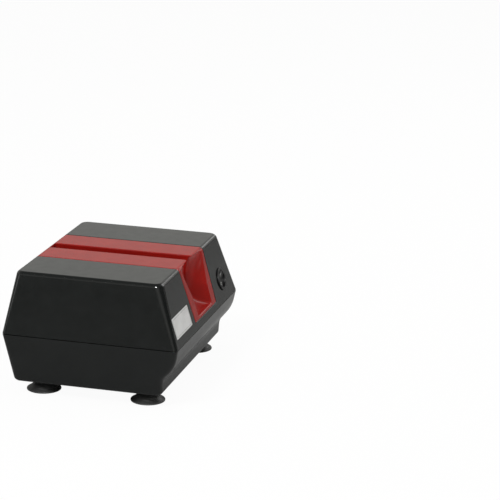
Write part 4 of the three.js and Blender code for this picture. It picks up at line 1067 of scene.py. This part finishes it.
def makeLabel():
    slopePlate("ratingLabel", plateOutline(0, label["corner"]), label["lift"], label["thickness"], foil)
    inkLow = label["thickness"] + label["inkLift"]
    slopePlate(
        "labelBorder", plateOutline(label["border"], label["borderCorner"]), inkLow, inkLow + label["ink"], greyInk,
        plateOutline(label["border"] + label["line"], label["borderInner"]))


makeLabel()
print("label made")

# The CAD nodes that stay get their finish
finishes = (
    (steel, "guide_screw", "shell_screw", "plate_screw", "front_bearing", "rear_bearing", "wheel_shaft",
     "front_clip", "rear_clip", "rotor_core", "motor_shaft", "motor_bracket", "motor_screw", "motor_spacer",
     "motor_nut"),
    (grit, "grinding_wheel"),
    (bronze, "front_bush", "rear_bush", "motor_bush", "motor_pinion", "switch_terminal"),
    (whitePlastic, "wheel_gear", "cooling_fan", "terminal_block"),
    (laminations, "stator_stack"),
    (copper, "motor_coil"),
    (amber, "coil_bobbin"),
)
for name, node in nodes.items():
    for material, *starts in finishes:
        if name.startswith(tuple(starts)):
            node.data.materials.clear()
            node.data.materials.append(material)
print("finishes set")

# Floor, light and backdrop

stage = {
    "floorSize": 6.0, "floor": (0.82, 0.82, 0.82), "floorRough": 0.9, "floorShine": 0.1, "floorWhite": 0.95,
    "floorDim": 0.62, "white": 1.0, "fill": 0.5, "aim": (0, 0, 0.05),
    "room": ((0.0, 0.2), (0.275, 0.68), (0.42, 0.55), (0.75, 0.22)),  # upward direction and brightness
    "front": {"from": -0.55, "to": -0.85, "brightness": 0.2},  # the room is darker towards -Y
    "tint": (1.0, 1.0, 0.95),
    "pool": {"place": (0.1, -0.12, 0), "near": 0.06, "far": 0.3, "brightness": 0.22},  # a painted pool of light on the floor, a glow that only gloss shows
    "lamps": {
        "key": {"place": (-1.2, 0.45, 1.6), "size": 0.6, "power": 20.0, "inGloss": False},
        "top": {"place": (0.3, -0.2, 1.9), "size": 1.3, "power": 8.0, "inGloss": False},
        "side": {"place": (1.3, -0.9, 1.0), "size": 1.0, "power": 6.0},
        "spark": {"place": (-1.5, -0.45, 1.35), "size": 0.2, "power": 45.0, "onMatt": False},
        "edge": {"place": (1.85, -0.36, 0.72), "size": 0.25, "power": 0.3, "onMatt": False},
        "frontCorner": {"place": (1.0, -1.75, 0.3), "size": 0.12, "power": 0.14, "onMatt": False},
        "backCorner": {"place": (-0.75, 1.9, 0.2), "size": 0.3, "power": 0.45, "onMatt": False},
    },
}


def seenDirectly(tree, path):  # 1 where the camera looks at the backdrop or through glass at it
    either = addNode(tree, "Math", operation="MAXIMUM")
    tree.links.new(path.outputs["Is Camera Ray"], either.inputs[0])
    tree.links.new(path.outputs["Is Transmission Ray"], either.inputs[1])
    return either.outputs[0]


def blended(tree, share, low, high):  # a number between two, each a value or a socket
    made = addNode(tree, "Mix", data_type="FLOAT")
    tree.links.new(share, made.inputs["Factor"])
    for key, value in (("A", low), ("B", high)):
        if isinstance(value, float):
            made.inputs[key].default_value = value
        else:
            tree.links.new(value, made.inputs[key])
    return made.outputs["Result"]


def makeWorld():  # gloss and metal show a room that is brightest a little over the horizon
    world = bpy.data.worlds.new("studio")
    bpy.context.scene.world = world
    world.use_nodes = True
    tree = world.node_tree
    ground = tree.nodes["Background"]
    where = addNode(tree, "TexCoord")
    split = addNode(tree, "SeparateXYZ")
    tree.links.new(where.outputs["Generated"], split.inputs[0])
    room = addNode(tree, "ValToRGB")
    tree.links.new(split.outputs["Z"], room.inputs["Fac"])
    stops = room.color_ramp.elements
    for i, (height, brightness) in enumerate(stage["room"]):
        stop = stops[i] if i < 2 else stops.new(height)
        stop.position = height
        stop.color = (brightness, brightness, brightness, 1)
    front = stage["front"]
    dark = mapped(tree, split.outputs["Y"], front["brightness"], 1.0, front["to"], front["from"])
    seen = addNode(tree, "Math", operation="MULTIPLY")
    tree.links.new(room.outputs["Color"], seen.inputs[0])
    tree.links.new(dark, seen.inputs[1])
    path = addNode(tree, "LightPath")
    reflected = blended(tree, path.outputs["Is Glossy Ray"], stage["fill"], seen.outputs[0])
    direct = seenDirectly(tree, path)
    strength = blended(tree, direct, reflected, stage["white"])
    tree.links.new(strength, ground.inputs["Strength"])
    color = addNode(tree, "Mix", data_type="RGBA")
    color.inputs["A"].default_value = (*stage["tint"], 1)
    color.inputs["B"].default_value = (1, 1, 1, 1)
    tree.links.new(direct, color.inputs["Factor"])
    tree.links.new(color.outputs["Result"], ground.inputs["Color"])


def makeFloor():
    half = stage["floorSize"] / (2 * mm)
    corners = [(-half, -half, 0), (half, -half, 0), (half, half, 0), (-half, half, 0)]
    floor = meshPiece("floor", corners, [(0, 1, 2, 3)])
    material, tree, shader = newMaterial("paleFloor", stage["floor"], stage["floorRough"])
    shader.inputs["Specular IOR Level"].default_value = stage["floorShine"]
    out = tree.nodes["Material Output"]
    path = addNode(tree, "LightPath")
    # For glossy rays the floor's shading is mixed with a painted pool of light: an emission that glows in front of
    # the object and fades out away from it
    dim = addNode(tree, "MixShader")
    tree.links.new(blended(tree, path.outputs["Is Glossy Ray"], 0.0, stage["floorDim"]), dim.inputs["Fac"])
    tree.links.new(shader.outputs["BSDF"], dim.inputs[1])
    pool = stage["pool"]
    where = addNode(tree, "TexCoord")
    away = addNode(tree, "VectorMath", operation="DISTANCE")
    tree.links.new(where.outputs["Object"], away.inputs[0])
    away.inputs[1].default_value = pool["place"]
    paintedPoolGlow = addNode(tree, "Emission")
    light = mapped(tree, away.outputs["Value"], pool["brightness"], 0.0, pool["near"], pool["far"])
    tree.links.new(light, paintedPoolGlow.inputs["Strength"])
    tree.links.new(paintedPoolGlow.outputs["Emission"], dim.inputs[2])
    glow = addNode(tree, "Emission", {"Color": (1, 1, 1, 1), "Strength": stage["white"]})
    white = addNode(tree, "MixShader")
    tree.links.new(blended(tree, seenDirectly(tree, path), 0.0, stage["floorWhite"]), white.inputs["Fac"])
    tree.links.new(dim.outputs["Shader"], white.inputs[1])
    tree.links.new(glow.outputs["Emission"], white.inputs[2])
    tree.links.new(white.outputs["Shader"], out.inputs["Surface"])
    floor.data.materials.append(material)


def addLamp(name, place, size, power, inGloss=True, onMatt=True):
    data = bpy.data.lights.new(name, "AREA")
    data.shape = "DISK"
    data.size = size
    data.energy = power
    lamp = bpy.data.objects.new(name, data)
    lamp.location = place
    lamp.visible_camera = False
    lamp.visible_glossy = inGloss
    lamp.visible_diffuse = onMatt
    lamp.rotation_euler = (Vector(stage["aim"]) - Vector(place)).to_track_quat("-Z", "Y").to_euler()
    bpy.context.scene.collection.objects.link(lamp)


makeWorld()
makeFloor()
for name, lamp in stage["lamps"].items():
    addLamp(name, **lamp)
bpy.context.scene.view_settings.view_transform = "Standard"
print("stage made")
